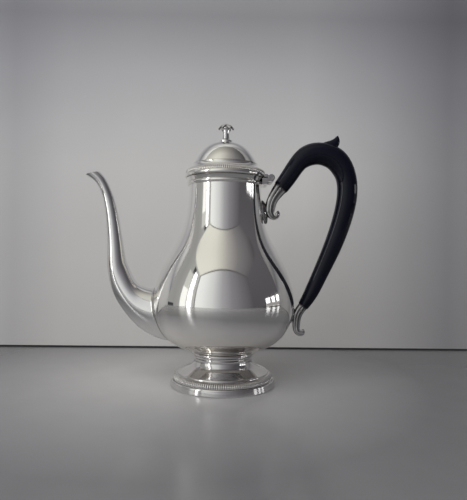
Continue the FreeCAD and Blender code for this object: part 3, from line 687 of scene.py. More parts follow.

# %% [markdown]
# ## Reeds
# A reeded band is a row of small half-round ribs. One rib is modelled, with a few dozen faces, and a tree repeats it
# round the axis. The groove beside each rib keeps tarnish, so the rib's edges carry the darkening attribute.


# %% The ring tree
def make_ring_tree():
    tree, given, outside = geometry_tree("ring_of_copies", [("Count", "Int"), ("Finish", "Material")])
    points = add(tree, "GeometryNodePoints", (1, 0), Count=(given, "Count"))
    index = add(tree, "GeometryNodeInputIndex", (1, 2)), 0
    share = math_node(tree, "DIVIDE", (2, 2), index, (given, "Count"))
    angle = math_node(tree, "MULTIPLY", (3, 2), share, 2 * math.pi)
    turned = add(tree, "ShaderNodeCombineXYZ", (4, 2), Z=angle)
    copies = add(tree, "GeometryNodeInstanceOnPoints", (5, 0), Points=(points, 0), Instance=(given, "Geometry"),
                 Rotation=(turned, 0))
    return finish_tree(tree, copies, given, outside)


ring_tree = make_ring_tree()
print("tree", ring_tree.name)


# %% The reeds
def loft(name, rings, finish, capped=True):
    """A closed mesh of rings of points in millimetres. Its ends are capped, or joined to each other."""
    count, last = len(rings[0]), len(rings) - 1
    steps = [(a, a + 1) for a in range(last)] + ([] if capped else [(last, 0)])
    faces = [(a * count + j, a * count + (j + 1) % count, b * count + (j + 1) % count, b * count + j)
             for a, b in steps for j in range(count)]
    if capped:
        faces += [tuple(range(count))[::-1], tuple(last * count + j for j in range(count))]
    mesh = bpy.data.meshes.new(name)
    mesh.from_pydata([point * MM for ring in rings for point in ring], [], faces)
    mesh.materials.append(finish)
    return new_object(name, mesh)


def reed_ring(name, low, high, count, bulge, depth, backing, finish, steps_along=8, steps_across=6):
    """A band of ribs from a low to a high point of the outline, each rib rounded across and bowed along."""
    half = math.pi / count
    sides = [2 * j / steps_across - 1 for j in range(steps_across + 1)]
    rings, darkened = [], []
    for i in range(steps_along + 1):
        t = i / steps_along
        lift = bulge * math.sin(math.pi * t)
        r, z = low[0] + (high[0] - low[0]) * t + lift, low[1] + (high[1] - low[1]) * t + lift / 2
        ends = min(1.0, 4 * t + 0.3, 4 * (1 - t) + 0.3)
        ring = [(r + depth * math.sqrt(max(0.0, 1 - side * side)) * ends, half * side) for side in sides]
        ring += [(r - backing, half), (r - backing, -half)]
        rings.append([Vector((out * math.cos(angle), out * math.sin(angle), z)) for out, angle in ring])
        darkened += [0.75 * max(0.0, abs(side) - 0.55) / 0.45 for side in sides] + [0.0, 0.0]
    rib = set_darkening(loft(name, rings, finish), darkened)
    return tidy_faces(run_tree(rib, ring_tree, Count=count, Finish=finish), 50.0)


foot_reeds = reed_ring("foot_reeds", (45.7, 6.2), (42.2, 11.2), count=148, bulge=0.95, depth=0.6, backing=0.5,
                       finish=foot_silver)
dress(foot_reeds, "pot", ["foot_reeded_band"])
lid_reeds = reed_ring("lid_reeds", (36.6, 193.0), (33.8, 196.9), count=124, bulge=0.55, depth=0.5, backing=0.35,
                      finish=reeded_silver)
dress(lid_reeds, "lid", ["lid_reeded_band"])

# %% [markdown]
# ## The lid
# The lid is a spun dome over a hollow moulding and a skirt, with a wire round its rim and a ring below that drops into
# the mouth. The dome leans in from its foot, so it mirrors the ceiling and not the wall in front.

# %% Turn the lid
dome_stations = ((29.5, 202.1), (28.55, 204.0), (26.6, 207.6), (23.7, 211.9), (19.2, 216.7), (13.2, 220.45),
                 (6.5, 222.45), (1.54, 222.97))
dome_thickness, dome_steps = 0.9, 44
dome_curve = spline_through(dome_stations)
dome_run = [dome_curve(k / dome_steps) for k in range(dome_steps + 1)]
dome = outline_of((36.2, 189.1), (36.2, 192.9), (33.4, 197.0), [(31.0, 198.6), (29.8, 201.4)], (29.8, 202.1))
dome += dome_run + moved_aside(dome_run[::-1], -dome_thickness)
dome += outline_of((28.9, 200.95), [(30.36, 197.96), (32.5, 196.55)], (35.3, 192.45), (35.3, 189.1))
lid_cover = turned_piece("lid_cover", softened(dome, 0.18))
# Painted shade along the lid's seams: at the reeds' top, the dome's foot and the skirt's top.
dress(shade_seams(lid_cover, (33.4, 197.0), (29.8, 202.1), (36.2, 192.9)), "lid", ["lid_dome"])

rim = outline_of((36.78, 192.82), (36.28, 192.82), (36.28, 189.1), (36.78, 189.1), [(37.4, 190.96), (36.78, 192.82)])
rim_wire = turned_piece("lid_rim_wire", softened(rim, 0.15))
# Painted shade along the rim wire's lower and upper edges.
dress(shade_seams(rim_wire, (36.78, 189.1), (36.78, 192.82)), "lid", ["lid_rim"])

bezel = [(30.65, 190.0), (30.65, 182.8), (31.55, 182.8), (31.55, 189.1), (35.22, 189.1), (35.22, 190.0)]
dress(turned_piece("lid_bezel_ring", softened(bezel, 0.2)), "lid", ["lid_bezel"])

# %% [markdown]
# ## Lofts
# The spout, the handle and the sockets are lofts. Each station gives two outline points in the pot's plane of symmetry
# and the width across, so that a section is an ellipse, and the same kind of spline runs through the stations.


# %% Lofts
def oval_point(section, angle, drawn_in=0.0):
    """A point on the ellipse of a section that is made smaller by an amount."""
    low, high = Vector((section[0], 0.0, section[1])), Vector((section[2], 0.0, section[3]))
    half = (high - low) / 2
    half = half * (1 - drawn_in / half.length)
    return (low + high) / 2 + half * math.cos(angle) + Vector((0.0, section[4] / 2 - drawn_in, 0.0)) * math.sin(angle)


def middle_of(section):
    """The middle of a section's ellipse."""
    return Vector((section[0] + section[2], 0.0, section[1] + section[3])) / 2


def placed(stations, mount, side=1):
    """Stations measured from a point of the body's wall, on the handle's side or the spout's."""
    return [(side * (mount.x + a), mount.y + b, side * (mount.x + c), mount.y + d, width)
            for a, b, c, d, width in stations]


lower_mount, upper_mount = 63.0, 160.0
lower_place, upper_place = (Vector((pot_radius(height), height)) for height in (lower_mount, upper_mount))
print("mounts at radius", round(lower_place.x, 2), round(upper_place.x, 2))

# %% [markdown]
# ## The spout
# The swan-neck spout was made in two halves and soldered to the body. Every lengthwise line of the loft starts where it
# leaves the body's wall and ends at the slanting plane of the lip, both found by halving a range. The first millimetres
# swell a little, as the solder does, and the lip is rounded from the outer to the inner wall.

# %% Loft the spout
spout_stations = (
    (-19.5, -23.6, -6.5, 24.6, 40.0), (-10.8, -23.8, 1.4, 23.9, 38.0), (2.1, -19.6, 7.1, 24.3, 34.0),
    (16.6, -10.3, 14.1, 26.6, 28.5), (30.6, 5.2, 20.3, 33.4, 23.5), (40.6, 23.4, 25.6, 44.5, 19.5),
    (44.5, 43.0, 27.8, 50.4, 17.4), (44.9, 60.0, 30.2, 63.2, 14.2), (46.0, 81.8, 33.9, 84.2, 11.8),
    (48.4, 100.3, 38.2, 102.4, 10.2), (52.1, 113.3, 43.4, 116.4, 9.4), (57.9, 122.4, 49.7, 127.2, 9.6),
    (68.6, 129.4, 58.6, 134.8, 10.4))
spout_path = spline_through(placed(spout_stations, lower_place, -1))
lip_tip = Vector((-lower_place.x - 67.3, 0.0, lower_place.y + 127.8))
lip_back = Vector((-lower_place.x - 53.9, 0.0, lower_place.y + 130.8))
lip_up = (lip_back - lip_tip).cross(Vector((0.0, -1.0, 0.0))).normalized()
lip_up = lip_up if lip_up.z > 0 else -lip_up


def crossing(test, low, high, halvings=26):
    """The share at which a test turns from negative to positive."""
    for _ in range(halvings):
        middle = (low + high) / 2
        low, high = (middle, high) if test(middle) < 0 else (low, middle)
    return low


def spout_line(angle, drawn_in, rows, swell, solder_reach=2.6, sunk=0.1):
    """Points along the spout from the body's wall to the lip, at one angle of its sections."""
    def at(share):
        return oval_point(spout_path(share), angle, drawn_in)

    start = crossing(lambda s: math.hypot(at(s).x, at(s).y) - pot_radius(at(s).z), 0.0, 0.33)
    end = crossing(lambda s: (at(s) - lip_tip).dot(lip_up), 0.75, 1.0)
    root, points = at(start), []
    for k in range(rows + 1):
        share = start + (end - start) * (1 - math.cos(math.pi * k / rows)) / 2
        point, section = at(share), spout_path(share)
        near = max(0.0, 1 - (point - root).length / solder_reach)
        points.append(point + (point - middle_of(section)).normalized() * (swell * near * near))
    foot = points[0]
    scale = (pot_radius(foot.z) - sunk) / math.hypot(foot.x, foot.y)
    points[0] = Vector((foot.x * scale, foot.y * scale, foot.z))
    return points


def make_spout(columns=64, rows=110, lip_round=0.4, seam=1.3):
    """The outer wall, the lip and the inner wall as one loft, with painted shade along the seam at the body."""
    angles = [2 * math.pi * j / columns for j in range(columns)]
    outer = list(zip(*[spout_line(a, 0.0, rows, 1.0) for a in angles]))
    inner = list(zip(*[spout_line(a, sheet_thickness, rows // 2, 0.0) for a in angles]))
    lip = [[a.lerp(b, t) + lip_up * (lip_round * math.sin(math.pi * t)) for a, b in zip(outer[-1], inner[-1])]
           for t in (0.12, 0.3, 0.5, 0.7, 0.88)]
    spout = loft("pouring_spout", outer + lip + inner[::-1], cast_silver, capped=False)
    # Painted shade along the seam where the spout meets the body.
    darkened = [full_darkening * max(0.0, 1 - (point - root).length / seam)
               for ring in outer for point, root in zip(ring, outer[0])]
    darkened += [0.0] * (len(spout.data.vertices) - len(darkened))
    return set_darkening(spout, darkened)


dress(tidy_faces(make_spout(), 60.0), "pot", ["spout"])

# %% [markdown]
# ## The handle
# The handle is one black carving: a long bow with a pointed spur where the thumb rests. The bow and the spur are lofts
# that a Boolean modifier joins, and the crease between them is smoothed, as a carver would leave it.

# %% The handle's stations
upper_handle_stations = (
    (11.2, 26.2, 22.3, 17.0, 12.0), (17.3, 35.8, 30.0, 26.9, 13.0), (24.6, 47.5, 37.9, 38.0, 14.2),
    (32.8, 57.4, 43.2, 41.8, 15.4), (44.9, 63.3, 49.4, 43.4, 16.4), (60.4, 63.2, 54.4, 42.9, 16.8),
    (73.2, 57.4, 60.2, 40.2, 16.6), (82.3, 46.0, 65.4, 34.4, 16.0), (87.3, 29.0, 68.7, 26.2, 15.4),
    (87.5, 13.2, 68.9, 14.6, 15.0), (82.7, -9.2, 65.3, -4.8, 14.5))
lower_handle_stations = (
    (44.4, 61.8, 29.2, 68.5, 13.4), (30.9, 33.8, 17.9, 39.6, 12.2), (19.9, 13.7, 8.9, 18.6, 10.8),
    (14.1, 6.2, 5.8, 12.0, 9.6))
spur_stations = (
    (49.0, 62.0, 57.0, 52.0, 9.0), (58.2, 65.0, 65.7, 55.5, 8.0), (63.9, 66.9, 70.2, 61.6, 6.0),
    (67.0, 69.1, 70.9, 65.9, 3.8), (68.7, 70.8, 69.9, 69.9, 1.4))
upper_handle, lower_handle = placed(upper_handle_stations, upper_place), placed(lower_handle_stations, lower_place)
print("handle stations", len(upper_handle) + len(lower_handle), "spur stations", len(spur_stations))


# %% Loft the handle
def oval_rings(path, rows, columns, end_rounds=(0.0, 0.0)):
    """Rings of ellipses along a path of sections. The rings at each end are drawn in to round it."""
    rings = []
    for k in range(rows + 1):
        drawn_in = end_rounds[0] * max(0.0, 1 - k / 2) ** 2 + end_rounds[1] * max(0.0, 1 - (rows - k) / 2) ** 2
        section = path(k / rows)
        rings.append([oval_point(section, 2 * math.pi * j / columns, drawn_in) for j in range(columns)])
    return rings


def soften_creases(piece, angle, reach, turns, cap_sides=24):
    """Smooths the points near the creases of a piece, but not the rims of its many-sided end caps."""
    sheet = bmesh.new()
    sheet.from_mesh(piece.data)
    folds = [e for e in sheet.edges if len(e.link_faces) == 2 and e.calc_face_angle() > math.radians(angle)
             and all(len(face.verts) < cap_sides for face in e.link_faces)]
    corners = [(e.verts[0].co + e.verts[1].co) / 2 for e in folds]
    near = [v for v in sheet.verts if any((v.co - c).length < reach * MM for c in corners)]
    for _ in range(turns):
        bmesh.ops.smooth_vert(sheet, verts=near, factor=0.5, use_axis_x=True, use_axis_y=True, use_axis_z=True)
    sheet.to_mesh(piece.data)
    sheet.free()


bow_path = spline_through(upper_handle + lower_handle)
spur_path = spline_through(placed(spur_stations, upper_place))
handle = loft("black_handle", oval_rings(bow_path, rows=190, columns=64, end_rounds=(0.1, 0.1)), handle_black)
spur = loft("spur", oval_rings(spur_path, rows=40, columns=32, end_rounds=(0.0, 0.3)), handle_black)
combine(handle, spur, "UNION")
soften_creases(handle, angle=25, reach=2.2, turns=5)
dress(tidy_faces(handle, 60.0), "pot", ["handle"])

# %% [markdown]
# ## Sockets and plates
# The handle's ends sit in two cast sockets that curl outwards at their tips, each on a leaf-shaped plate that is
# soldered to the body. The sockets are fluted lengthwise: their sections are ellipses with hollows between sharp
# ridges. The hollows carry the darkening attribute, because tarnish stays there, and the rows just below the handle's
# end carry it fully as painted shade. The plates carry painted shade all over, with darker veins. A socket's mouth is a
# little smaller than the handle's end, which leaves a step between silver and black.

# %% Cast the sockets
upper_socket_stations = (
    (6.6, 16.6, 17.0, 12.3, 10.6), (3.2, 8.0, 13.3, 6.8, 9.2), (2.3, 1.0, 12.1, 2.8, 8.4), (3.3, -3.5, 11.6, 0.8, 8.0),
    (6.6, -7.2, 11.2, -2.0, 7.6), (11.4, -8.4, 11.3, -3.9, 7.2), (15.4, -6.2, 11.9, -3.4, 6.6),
    (16.4, -2.4, 12.0, -2.4, 5.8), (15.2, 0.9, 12.4, -1.2, 4.4))
lower_socket_stations = (
    (9.1, -0.1, 1.2, 3.0, 7.8), (7.6, -6.5, 0.4, -5.2, 6.8), (7.5, -11.2, 0.8, -11.4, 5.8),
    (8.1, -12.7, 2.6, -15.8, 5.2), (9.5, -12.3, 6.2, -18.3, 5.0), (11.3, -12.5, 9.8, -18.2, 4.4),
    (12.1, -13.9, 12.0, -16.6, 3.0))


def socket_piece(name, end, stations, lap=0.6, tip_round=0.6, flutes=8, depth=0.13, rows=84, steps=10):
    """A fluted horn from the handle's end down to its curl. Its first rows, under the handle's end, are painted shade,
    and its hollows get paler towards the curl.
    """
    outer, inner = Vector(end[:2]), Vector(end[2:4])
    inward = (inner - outer).normalized() * lap
    mouth = (*(outer + inward), *(inner - inward), end[4] - 2 * lap)
    path = spline_through([mouth] + stations)
    columns = flutes * steps
    rings, darkened = [], []
    for k in range(rows + 1):
        section = path(k / rows)
        drawn_in = tip_round * max(0.0, 1 - (rows - k) / 3) ** 2
        middle = middle_of(section)
        ring = []
        for j in range(columns):
            hollow = math.sin(math.pi * j / steps % math.pi)
            point = oval_point(section, 2 * math.pi * j / columns, drawn_in)
            ring.append(middle + (point - middle) * (1 - depth * hollow))
            # The first three rows are painted shade under the handle's end; after them the hollows hold tarnish.
            darkened.append(full_darkening if k < 3 else (0.92 - 0.4 * (k / rows) ** 2) * hollow)
        rings.append(ring)
    return tidy_faces(set_darkening(loft(name, rings, fluted_silver), darkened), 60.0)


upper_horn = socket_piece("upper_horn", upper_handle[0], placed(upper_socket_stations, upper_place))
dress(upper_horn, "pot", ["upper_socket"])
lower_horn = socket_piece("lower_horn", lower_handle[-1], placed(lower_socket_stations, lower_place))
dress(lower_horn, "pot", ["lower_socket"])


# %% Lay the leaf plates
def leaf_piece(name, height, length, width, thickness, sunk=0.15, veins=5, rows=48, columns=24):
    """A domed leaf that lies on the body's wall, darkened all over by painted shade, with darker veins."""
    rings, darkened = [], []
    for k in range(rows + 1):
        u = 0.99 * math.sin(math.pi * (k / rows - 0.5))
        z = height + u * length / 2
        half, radius = width / 2 * (1 - u * u), pot_radius(z)
        sides = [math.sin(math.pi * (j / columns - 0.5)) for j in range(columns + 1)]
        tops = [radius + thickness * (1 - v * v) ** 0.5 * (1 - u * u) ** 0.4 for v in sides]
        ring = [Vector((math.sqrt(r * r - (v * half) ** 2), v * half, z)) for r, v in zip(tops, sides)]
        ring += [Vector((math.sqrt((radius - sunk) ** 2 - (v * half) ** 2), v * half, z)) for v in sides[::-1]]
        rings.append(ring)
        # Painted shade over the whole leaf, with darker veins in it.
        darkened += [0.45 + 0.3 * abs(math.sin(veins * math.pi * v)) for v in sides + sides[::-1]]
    return tidy_faces(set_darkening(loft(name, rings, fluted_silver), darkened), 60.0)


upper_leaf = leaf_piece("upper_leaf", height=158.6, length=22.0, width=12.0, thickness=4.4)
dress(upper_leaf, "pot", ["upper_mount_plate"])
lower_leaf = leaf_piece("lower_leaf", height=lower_mount, length=15.0, width=9.0, thickness=2.2)
dress(lower_leaf, "pot", ["lower_mount_plate"])

# %% [markdown]
# ## The finial
# The knob is a little flower: a turned stem on a collar, a bud on top and six leaves that droop from it. One leaf is
# lofted and the ring tree repeats it. Cast leaves are thick, so each is a closed lens in section.

# %% Turn the finial's collar and stem
dome_foot, dome_rise, dome_reach = 202.18, 20.9, 28.7
seat_radii = [5.9 - 4.36 * k / 12 for k in range(13)]
seat = [(r, dome_foot + dome_rise * math.sqrt(1 - (r / dome_reach) ** 2)) for r in seat_radii]
finial_collar = seat[::-1] + outline_of((5.9, 224.35), [(4.15, 224.62), (3.2, 225.7)], (1.54, 225.7))
dress(turned_piece("finial_collar_ring", softened(finial_collar, 0.3), 96), "lid", ["finial_collar"])

stem = outline_of((0.0, 216.6), (1.5, 216.6), (1.5, 225.78), (3.5, 225.78), [(2.9, 229.6), (3.1, 233.2)],
                  [(3.6, 235.2), (4.6, 236.3)], [(4.1, 237.8), (2.4, 238.4)], [(1.8, 239.75), (0.0, 240.2)])
finial_stem = turned_piece("finial_stem", softened(stem, 0.25), 72, cast_silver, closed=False)
dress(finial_stem, "lid", ["finial"])


# %% Cast the finial's leaves
def leaf_of_finial(rows=16, columns=12):
    """One drooping leaf along +X: a lens in section, wide in the middle and blunt at its tip. Its underside is painted
    shade.
    """
    spine = spline_through([(1.6, 238.5), (3.2, 238.3), (4.9, 237.3), (6.2, 236.0), (7.2, 235.0)])
    rings, darkened = [], []
    for k in range(rows + 1):
        t = k / rows
        here, ahead = spine(t), spine(min(1.0, t + 0.02)) - spine(max(0.0, t - 0.02))
        out = Vector((-ahead.y, ahead.x)).normalized()
        half, thick = 0.5 + 2.0 * math.sin(math.pi * min(1.0, t ** 0.8)) ** 0.8, 0.95 - 0.2 * t
        ring = []
        for j in range(columns):
            angle = 2 * math.pi * j / columns
            lift = out * (thick * math.sin(angle) - 0.9 * t * math.cos(angle) ** 2)
            ring.append(Vector((here.x + lift.x, half * math.cos(angle), here.y + lift.y)))
            # Painted shade on the underside; the upper side darkens towards its edges.
            darkened.append(full_darkening * abs(math.cos(angle)) ** 3 if math.sin(angle) > 0 else 0.8)
        rings.append(ring)
    return set_darkening(loft("finial_leaves", rings, fluted_silver), darkened)


leaves = run_tree(leaf_of_finial(), ring_tree, Count=6, Finish=fluted_silver)
dress(tidy_faces(leaves, 50.0), "lid", ["finial"])

# %% [markdown]
# ## Hinge, pins and fixings
# These small pieces stay as the solids were built. A Weld modifier closes their meshes, a small bevel gives their edges
# a line of light, and they get the dullest of the silver finishes, because nobody polishes a hinge.

# %% Finish the small solids
small_solids = ("hinge_bracket", "hinge_pin", "lid_hinge_leaf", "upper_handle_pin", "lower_handle_pin",
                "finial_washer", "finial_nut")
for name in small_solids:
    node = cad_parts[name]
    node.data.materials.clear()
    node.data.materials.append(hinge_silver)
    node.modifiers.new("weld", "WELD").merge_threshold = 0.001 * MM
    edge = node.modifiers.new("edge", "BEVEL")
    edge.width, edge.segments, edge.limit_method = 0.25 * MM, 2, "ANGLE"
print("small solids finished", len(small_solids))

# %% [markdown]
# ## Table and wall
# The pot stands on a satin grey table in front of a pale grey wall. A dark strip behind the narrow gap between them
# is painted shadow, which gives the line at the wall's foot. All three are stage and don't belong to the part. They are
# see-through from behind, so that a view from another side isn't blocked. Their tones are painted light and shade,
# as stops along a measure: the distance from the middle of a painted pool of light on the table, and the place across
# and up the wall.


# %% Finishes of the stage, with painted light and shade
def see_through_back(tree, shader):
    """Makes the back of a flat piece of stage see-through."""
    facing = add(tree, "ShaderNodeNewGeometry", (6, 2))
    clear = add(tree, "ShaderNodeBsdfTransparent", (6, 1))
    mixed = add(tree, "ShaderNodeMixShader", (7, 0))
    for socket, source in zip(mixed.inputs, ((facing, "Backfacing"), (shader, 0), (clear, 0))):
        fill(tree, socket, source)
    give(tree, tree.nodes["Material Output"], Surface=(mixed, 0))


def graded(tree, source, stops, place):
    """A colour that goes through stops along a measure, as a pair."""
    low, high = stops[0][0], stops[-1][0]
    share = add(tree, "ShaderNodeMapRange", place, Value=source, From_Min=low, From_Max=high)
    ramp = add(tree, "ShaderNodeValToRGB", (place[0] + 1, place[1]), Fac=(share, 0))
    for index, (measure, colour) in enumerate(stops):
        spot = (measure - low) / (high - low)
        stop = ramp.color_ramp.elements[index] if index < 2 else ramp.color_ramp.elements.new(spot)
        stop.position, stop.color = spot, (*colour, 1)
    return ramp, 0


def product(tree, place, first, second):
    """Two colours multiplied, as a pair."""
    return math_node(tree, "MULTIPLY", place, first, second, kind="ShaderNodeVectorMath")


def stage_material(name, tones, grain_scale, rough, bump):
    """A painted surface with a faint grain. Its tone is the product of gradings, each with its own measure, which paint
    light and shade into its colour.
    """
    material, tree, shader = new_material(name)
    place = add(tree, "ShaderNodeTexCoord", (0, 0)), "Object"
    parts = add(tree, "ShaderNodeSeparateXYZ", (1, 1), Vector=place)
    grain = add(tree, "ShaderNodeTexNoise", (1, 0), Vector=place, Scale=grain_scale, Detail=5.0)
    tone = add(tree, "ShaderNodeMapRange", (2, 0), Value=(grain, 0), To_Min=0.94, To_Max=1.06), 0
    for row, (measure, stops) in enumerate(tones):
        source = (parts, measure)
        if not isinstance(measure, str):
            away = add(tree, "ShaderNodeVectorMath", (1, 2 + row), {"operation": "DISTANCE"}, Vector=place)
            away.inputs[1].default_value = Vector(measure) * MM
            source = (away, "Value")
        shade = graded(tree, source, [(at * MM, colour) for at, colour in stops], (2, 2 + row))
        tone = product(tree, (4 + row, 0), tone, shade)
    give(tree, shader, Base_Color=tone, Roughness=rough)
    add_bump(tree, shader, (grain, 0), bump, 0.2 * MM)
    see_through_back(tree, shader)
    return material


# The table's tones are a painted pool of light round this point, falling into painted shade further out.
painted_pool_centre = (-45, 35, 0)
table_painted_light = ((0, (0.4, 0.395, 0.39)), (60, (0.375, 0.37, 0.367)), (125, (0.26, 0.257, 0.262)),
               (165, (0.21, 0.208, 0.216)), (235, (0.127, 0.127, 0.134)), (320, (0.135, 0.135, 0.14)),
               (800, (0.2, 0.199, 0.203)))
# The wall's tones are painted light and shade: a narrow fold of shade at the left, falloff towards the right and
# upwards, brighter again high up.
wall_painted_light_across = ((-500, (1.0, 1.0, 1.0)), (-350, (0.95, 0.95, 0.955)), (-268, (0.75, 0.75, 0.775)),
               (-205, (0.93, 0.93, 0.94)), (-120, (1.0, 1.0, 1.0)), (100, (1.0, 1.0, 1.0)), (194, (0.76, 0.76, 0.78)),
               (283, (0.44, 0.44, 0.47)), (400, (0.62, 0.62, 0.63)), (500, (0.62, 0.62, 0.63)))
wall_painted_light_up = ((0, (0.455, 0.446, 0.435)), (230, (0.435, 0.429, 0.425)), (276, (0.4, 0.397, 0.4)),
           (350, (0.315, 0.313, 0.325)), (422, (0.205, 0.205, 0.218)), (640, (0.4, 0.396, 0.39)),
           (1400, (0.6, 0.594, 0.585)))
# A dark strip of painted shadow gives the line at the wall's foot.
gap_painted_shadow = ((0, (0.02, 0.02, 0.022)), (900, (0.02, 0.02, 0.022)))
table_with_painted_light = stage_material("table_satin_painted_light", [(painted_pool_centre, table_painted_light)], grain_scale=30.0, rough=0.24, bump=0.05)
wall_with_painted_light = stage_material("wall_painted_light", [("X", wall_painted_light_across), ("Z", wall_painted_light_up)], grain_scale=6.0, rough=0.8, bump=0.05)
gap_shadow_material = stage_material("gap_shadow", [("Z", gap_painted_shadow)], grain_scale=60.0, rough=0.9, bump=0.02)
print("stage finishes", table_with_painted_light.name, wall_with_painted_light.name, gap_shadow_material.name)

# %% Set the stage
wide, near_edge, wall_top = 1500, -1500, 1400
wall_distance, wall_slant = 167, 0.027
table_short_by, strip_behind = 3, 4


def wall_line(behind, height):
    """A level line along the wall, a distance behind its face. The wall isn't quite square to the camera."""
    return [(x, wall_distance + wall_slant * x + behind, height) for x in (-wide, wide)]


def flat_stage(name, first_line, second_line, material):
    """A flat piece of stage between two lines."""
    mesh = bpy.data.meshes.new(name)
    mesh.from_pydata([Vector(c) * MM for c in first_line + second_line[::-1]], [], [(0, 1, 2, 3)])
    mesh.materials.append(material)
    made = new_object(name, mesh)
    print("stage", name)


flat_stage("table", [(-wide, near_edge, 0), (wide, near_edge, 0)], wall_line(-table_short_by, 0), table_with_painted_light)
flat_stage("wall", wall_line(0, 2), wall_line(0, wall_top), wall_with_painted_light)
flat_stage("gap", wall_line(strip_behind, -2), wall_line(strip_behind, 8), gap_shadow_material)

# %% [markdown]
# ## The room
# Polished silver has hardly any colour of its own: it shows the room. So the world is a plain box of a room, and a
# direction is followed to the side that it meets first. The front wall and the warm ceiling are bright at the left and
# dark at the right, the left wall is grey with a tall window, and the right wall is dark with a low, wide one. A thin
# dark line runs where the front wall meets the ceiling and the left wall. A large lamp from the left gives the soft
# shadow, and a weaker one fills it from the right.


# %% Measure the room
room_left, room_right, room_height = 1.0, 1.08, 1.06
edge_width = 1.022


def room_group():
    """Follows a direction to the room's sides: where it meets them, which side that is and how near an edge."""
    names = ["Across", "Ahead", "Up", "Ceiling", "Left", "Right", "Edge"]
    tree, inside, outside = group_of("box_room", [("Vector", "Vector", None)], [(name, "Float") for name in names])
    parts = add(tree, "ShaderNodeSeparateXYZ", (1, 0), Vector=(inside, "Vector"))

    def fold(operation, first, *others):
        for other in others:
            first = math_node(tree, operation, (5, 0), first, other)
        return first

    reach = {}
    for name, axis, sign, distance in (("Front", "Y", -1.0, 1.0), ("Left", "X", -1.0, room_left),
                                       ("Right", "X", 1.0, room_right), ("Ceiling", "Z", 1.0, room_height)):
        along = math_node(tree, "MULTIPLY", (2, 0), (parts, axis), sign)
        clear = math_node(tree, "MAXIMUM", (3, 0), along, 0.001)
        reach[name] = math_node(tree, "DIVIDE", (4, 0), distance, clear)
    nearest = fold("MINIMUM", *reach.values())
    second = fold("MINIMUM", *[fold("MAXIMUM", reach["Front"], reach[name]) for name in ("Left", "Ceiling")])
    for name, axis, sign in (("Across", "X", 1.0), ("Ahead", "Y", -1.0), ("Up", "Z", 1.0)):
        along = math_node(tree, "MULTIPLY", (6, 0), (parts, axis), sign)
        give(tree, outside, **{name: math_node(tree, "MULTIPLY", (7, 0), along, nearest)})
    just_past = math_node(tree, "MULTIPLY", (6, 1), nearest, 1.0001)
    for name in ("Ceiling", "Left", "Right"):
        give(tree, outside, **{name: math_node(tree, "LESS_THAN", (7, 1), reach[name], just_past)})
    ratio = math_node(tree, "DIVIDE", (6, 2), second, nearest)
    give(tree, outside, Edge=math_node(tree, "LESS_THAN", (7, 2), ratio, edge_width))
    return tree


def within(tree, source, low, high, soft, place):
    """A mask that is 1 between two measures, with soft edges."""
    rise = add(tree, "ShaderNodeMapRange", place, smooth_step, Value=source, From_Min=low - soft, From_Max=low + soft)
    fall = add(tree, "ShaderNodeMapRange", (place[0], place[1] + 1), smooth_step, Value=source,
               From_Min=high - soft, From_Max=high + soft, To_Min=1.0, To_Max=0.0)
    return math_node(tree, "MULTIPLY", (place[0] + 1, place[1]), (rise, 0), (fall, 0))


print("room", room_left + room_right, "wide for each 1 of its depth,", room_height, "high")

# %% Paint the room's sides
world = bpy.data.worlds.new("room")
scene.world = world
world.use_nodes = True
tree = world.node_tree
direction = add(tree, "ShaderNodeTexCoord", (0, 0))
box = place_group(tree, room_group(), (1, 0), Vector=(direction, "Generated"))
across, ahead, up = (box, "Across"), (box, "Ahead"), (box, "Up")

front_stops = ((-1.0, (0.9, 0.91, 0.89)), (-0.66, (0.82, 0.83, 0.81)), (-0.31, (0.63, 0.635, 0.635)),
               (-0.03, (0.36, 0.355, 0.37)), (0.26, (0.22, 0.215, 0.23)), (0.6, (0.15, 0.145, 0.157)),
               (1.08, (0.09, 0.086, 0.094)))
ceiling_stops = ((-1.0, (0.78, 0.77, 0.69)), (-0.5, (0.75, 0.74, 0.66)), (-0.3, (0.7, 0.69, 0.615)),
                 (-0.15, (0.6, 0.585, 0.53)), (0.0, (0.49, 0.472, 0.43)), (0.14, (0.38, 0.366, 0.345)),
                 (0.28, (0.3, 0.288, 0.28)), (0.5, (0.2, 0.192, 0.196)), (1.08, (0.1, 0.096, 0.103)))
overhead_stops = ((-0.6, (0.5, 0.5, 0.5)), (0.0, (0.58, 0.58, 0.58)), (0.15, (0.72, 0.72, 0.72)),
                  (0.35, (0.95, 0.95, 0.95)), (0.7, (1.0, 1.0, 1.0)))
left_stops = ((-1.0, (0.4, 0.4, 0.39)), (0.1, (0.3, 0.3, 0.29)), (1.0, (0.48, 0.48, 0.46)))
right_stops = ((-0.1, (0.08, 0.077, 0.083)), (1.06, (0.1, 0.096, 0.103)))
ceiling = product(tree, (5, 1), graded(tree, across, ceiling_stops, (3, 1)),
                  graded(tree, ahead, overhead_stops, (3, 2)))
sides = (("Ceiling", ceiling), ("Left", graded(tree, ahead, left_stops, (3, 3))),
         ("Right", graded(tree, up, right_stops, (3, 4))), ("Edge", (0.09, 0.085, 0.08)))
room = graded(tree, across, front_stops, (3, 0))
for column, (mask, colour) in enumerate(sides):
    room = paint(tree, (7 + column, 0), room, (box, mask), colour)
print("room's sides painted", len(sides))


# %% Paint the windows and the floor
def window(on_wall, ahead_low, ahead_high, up_low, up_high, row):
    """A mask for a window on a side wall."""
    long_way = within(tree, ahead, ahead_low, ahead_high, 0.01, (3, row))
    high_way = within(tree, up, up_low, up_high, 0.01, (3, row + 2))
    pane = math_node(tree, "MULTIPLY", (5, row), long_way, high_way)
    return math_node(tree, "MULTIPLY", (6, row), pane, (box, on_wall))


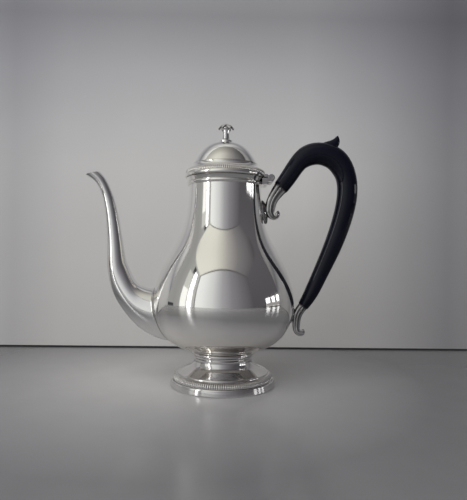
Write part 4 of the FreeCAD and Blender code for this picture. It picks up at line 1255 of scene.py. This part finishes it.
# Each pane has its wall, where it starts and ends along the wall and upwards, and its colour.
panes = [("Left", 0.33, 0.84, -0.2, 0.45, (1.05, 1.05, 1.0)), ("Left", 0.33, 0.84, 0.45, 0.8, (0.6, 0.6, 0.56)),
         ("Left", 0.64, 0.77, -0.2, 0.92, (5.0, 5.0, 5.0)), ("Left", 0.56, 0.6, -0.2, 0.80, (0.5, 0.5, 0.47)),
         ("Left", 0.5, 0.64, 0.84, 1.0, (0.05, 0.05, 0.055)), ("Left", -0.5, 0.1, -0.2, 0.02, (0.05, 0.05, 0.055)),
         ("Right", -0.5, 0.36, -0.02, 0.2, (4.0, 4.0, 4.0))]
panes += [("Right", low, high, -0.02, 0.2, (0.15, 0.15, 0.15))
          for low, high in ((-0.28, -0.17), (-0.08, 0.02), (0.12, 0.22))]
panes += [("Right", -0.5, 0.36, -0.02, 0.08, (0.3, 0.29, 0.28)), ("Right", -0.6, 0.5, -0.2, -0.03, (0.03, 0.03, 0.03))]
for row, (on_wall, *reaches, colour) in enumerate(panes):
    room = paint(tree, (11 + row, 0), room, window(on_wall, *reaches, 6 + 4 * row), colour)
far_below, floor_top = -5000.0, -0.06
floor_mask = within(tree, up, far_below, floor_top, 0.02, (3, 56))
room = paint(tree, (24, 0), room, floor_mask, (0.16, 0.155, 0.15))
give(tree, tree.nodes["Background"], Color=room, Strength=1.0)
print("panes painted", len(panes))

# %% Hang the lamps
lamp_target = Vector((0.0, 0.05, 0.12))


def hang_lamp(name, place, size, watts):
    """A round lamp turned towards the pot, which isn't mirrored itself."""
    data = bpy.data.lights.new(name, "AREA")
    data.shape, data.size, data.energy = "DISK", size, watts
    lamp = new_object(name, data)
    aim = lamp_target - Vector(place)
    lamp.matrix_world = Matrix.Translation(place) @ aim.to_track_quat("-Z", "Y").to_matrix().to_4x4()
    lamp.visible_glossy = False
    print(name, round(aim.length, 2), "m from the pot")


hang_lamp("key_lamp", (-0.5, -0.9, 1.0), size=1.6, watts=19.5)
hang_lamp("fill_lamp", (0.9, -0.9, 0.7), size=1.0, watts=4.5)
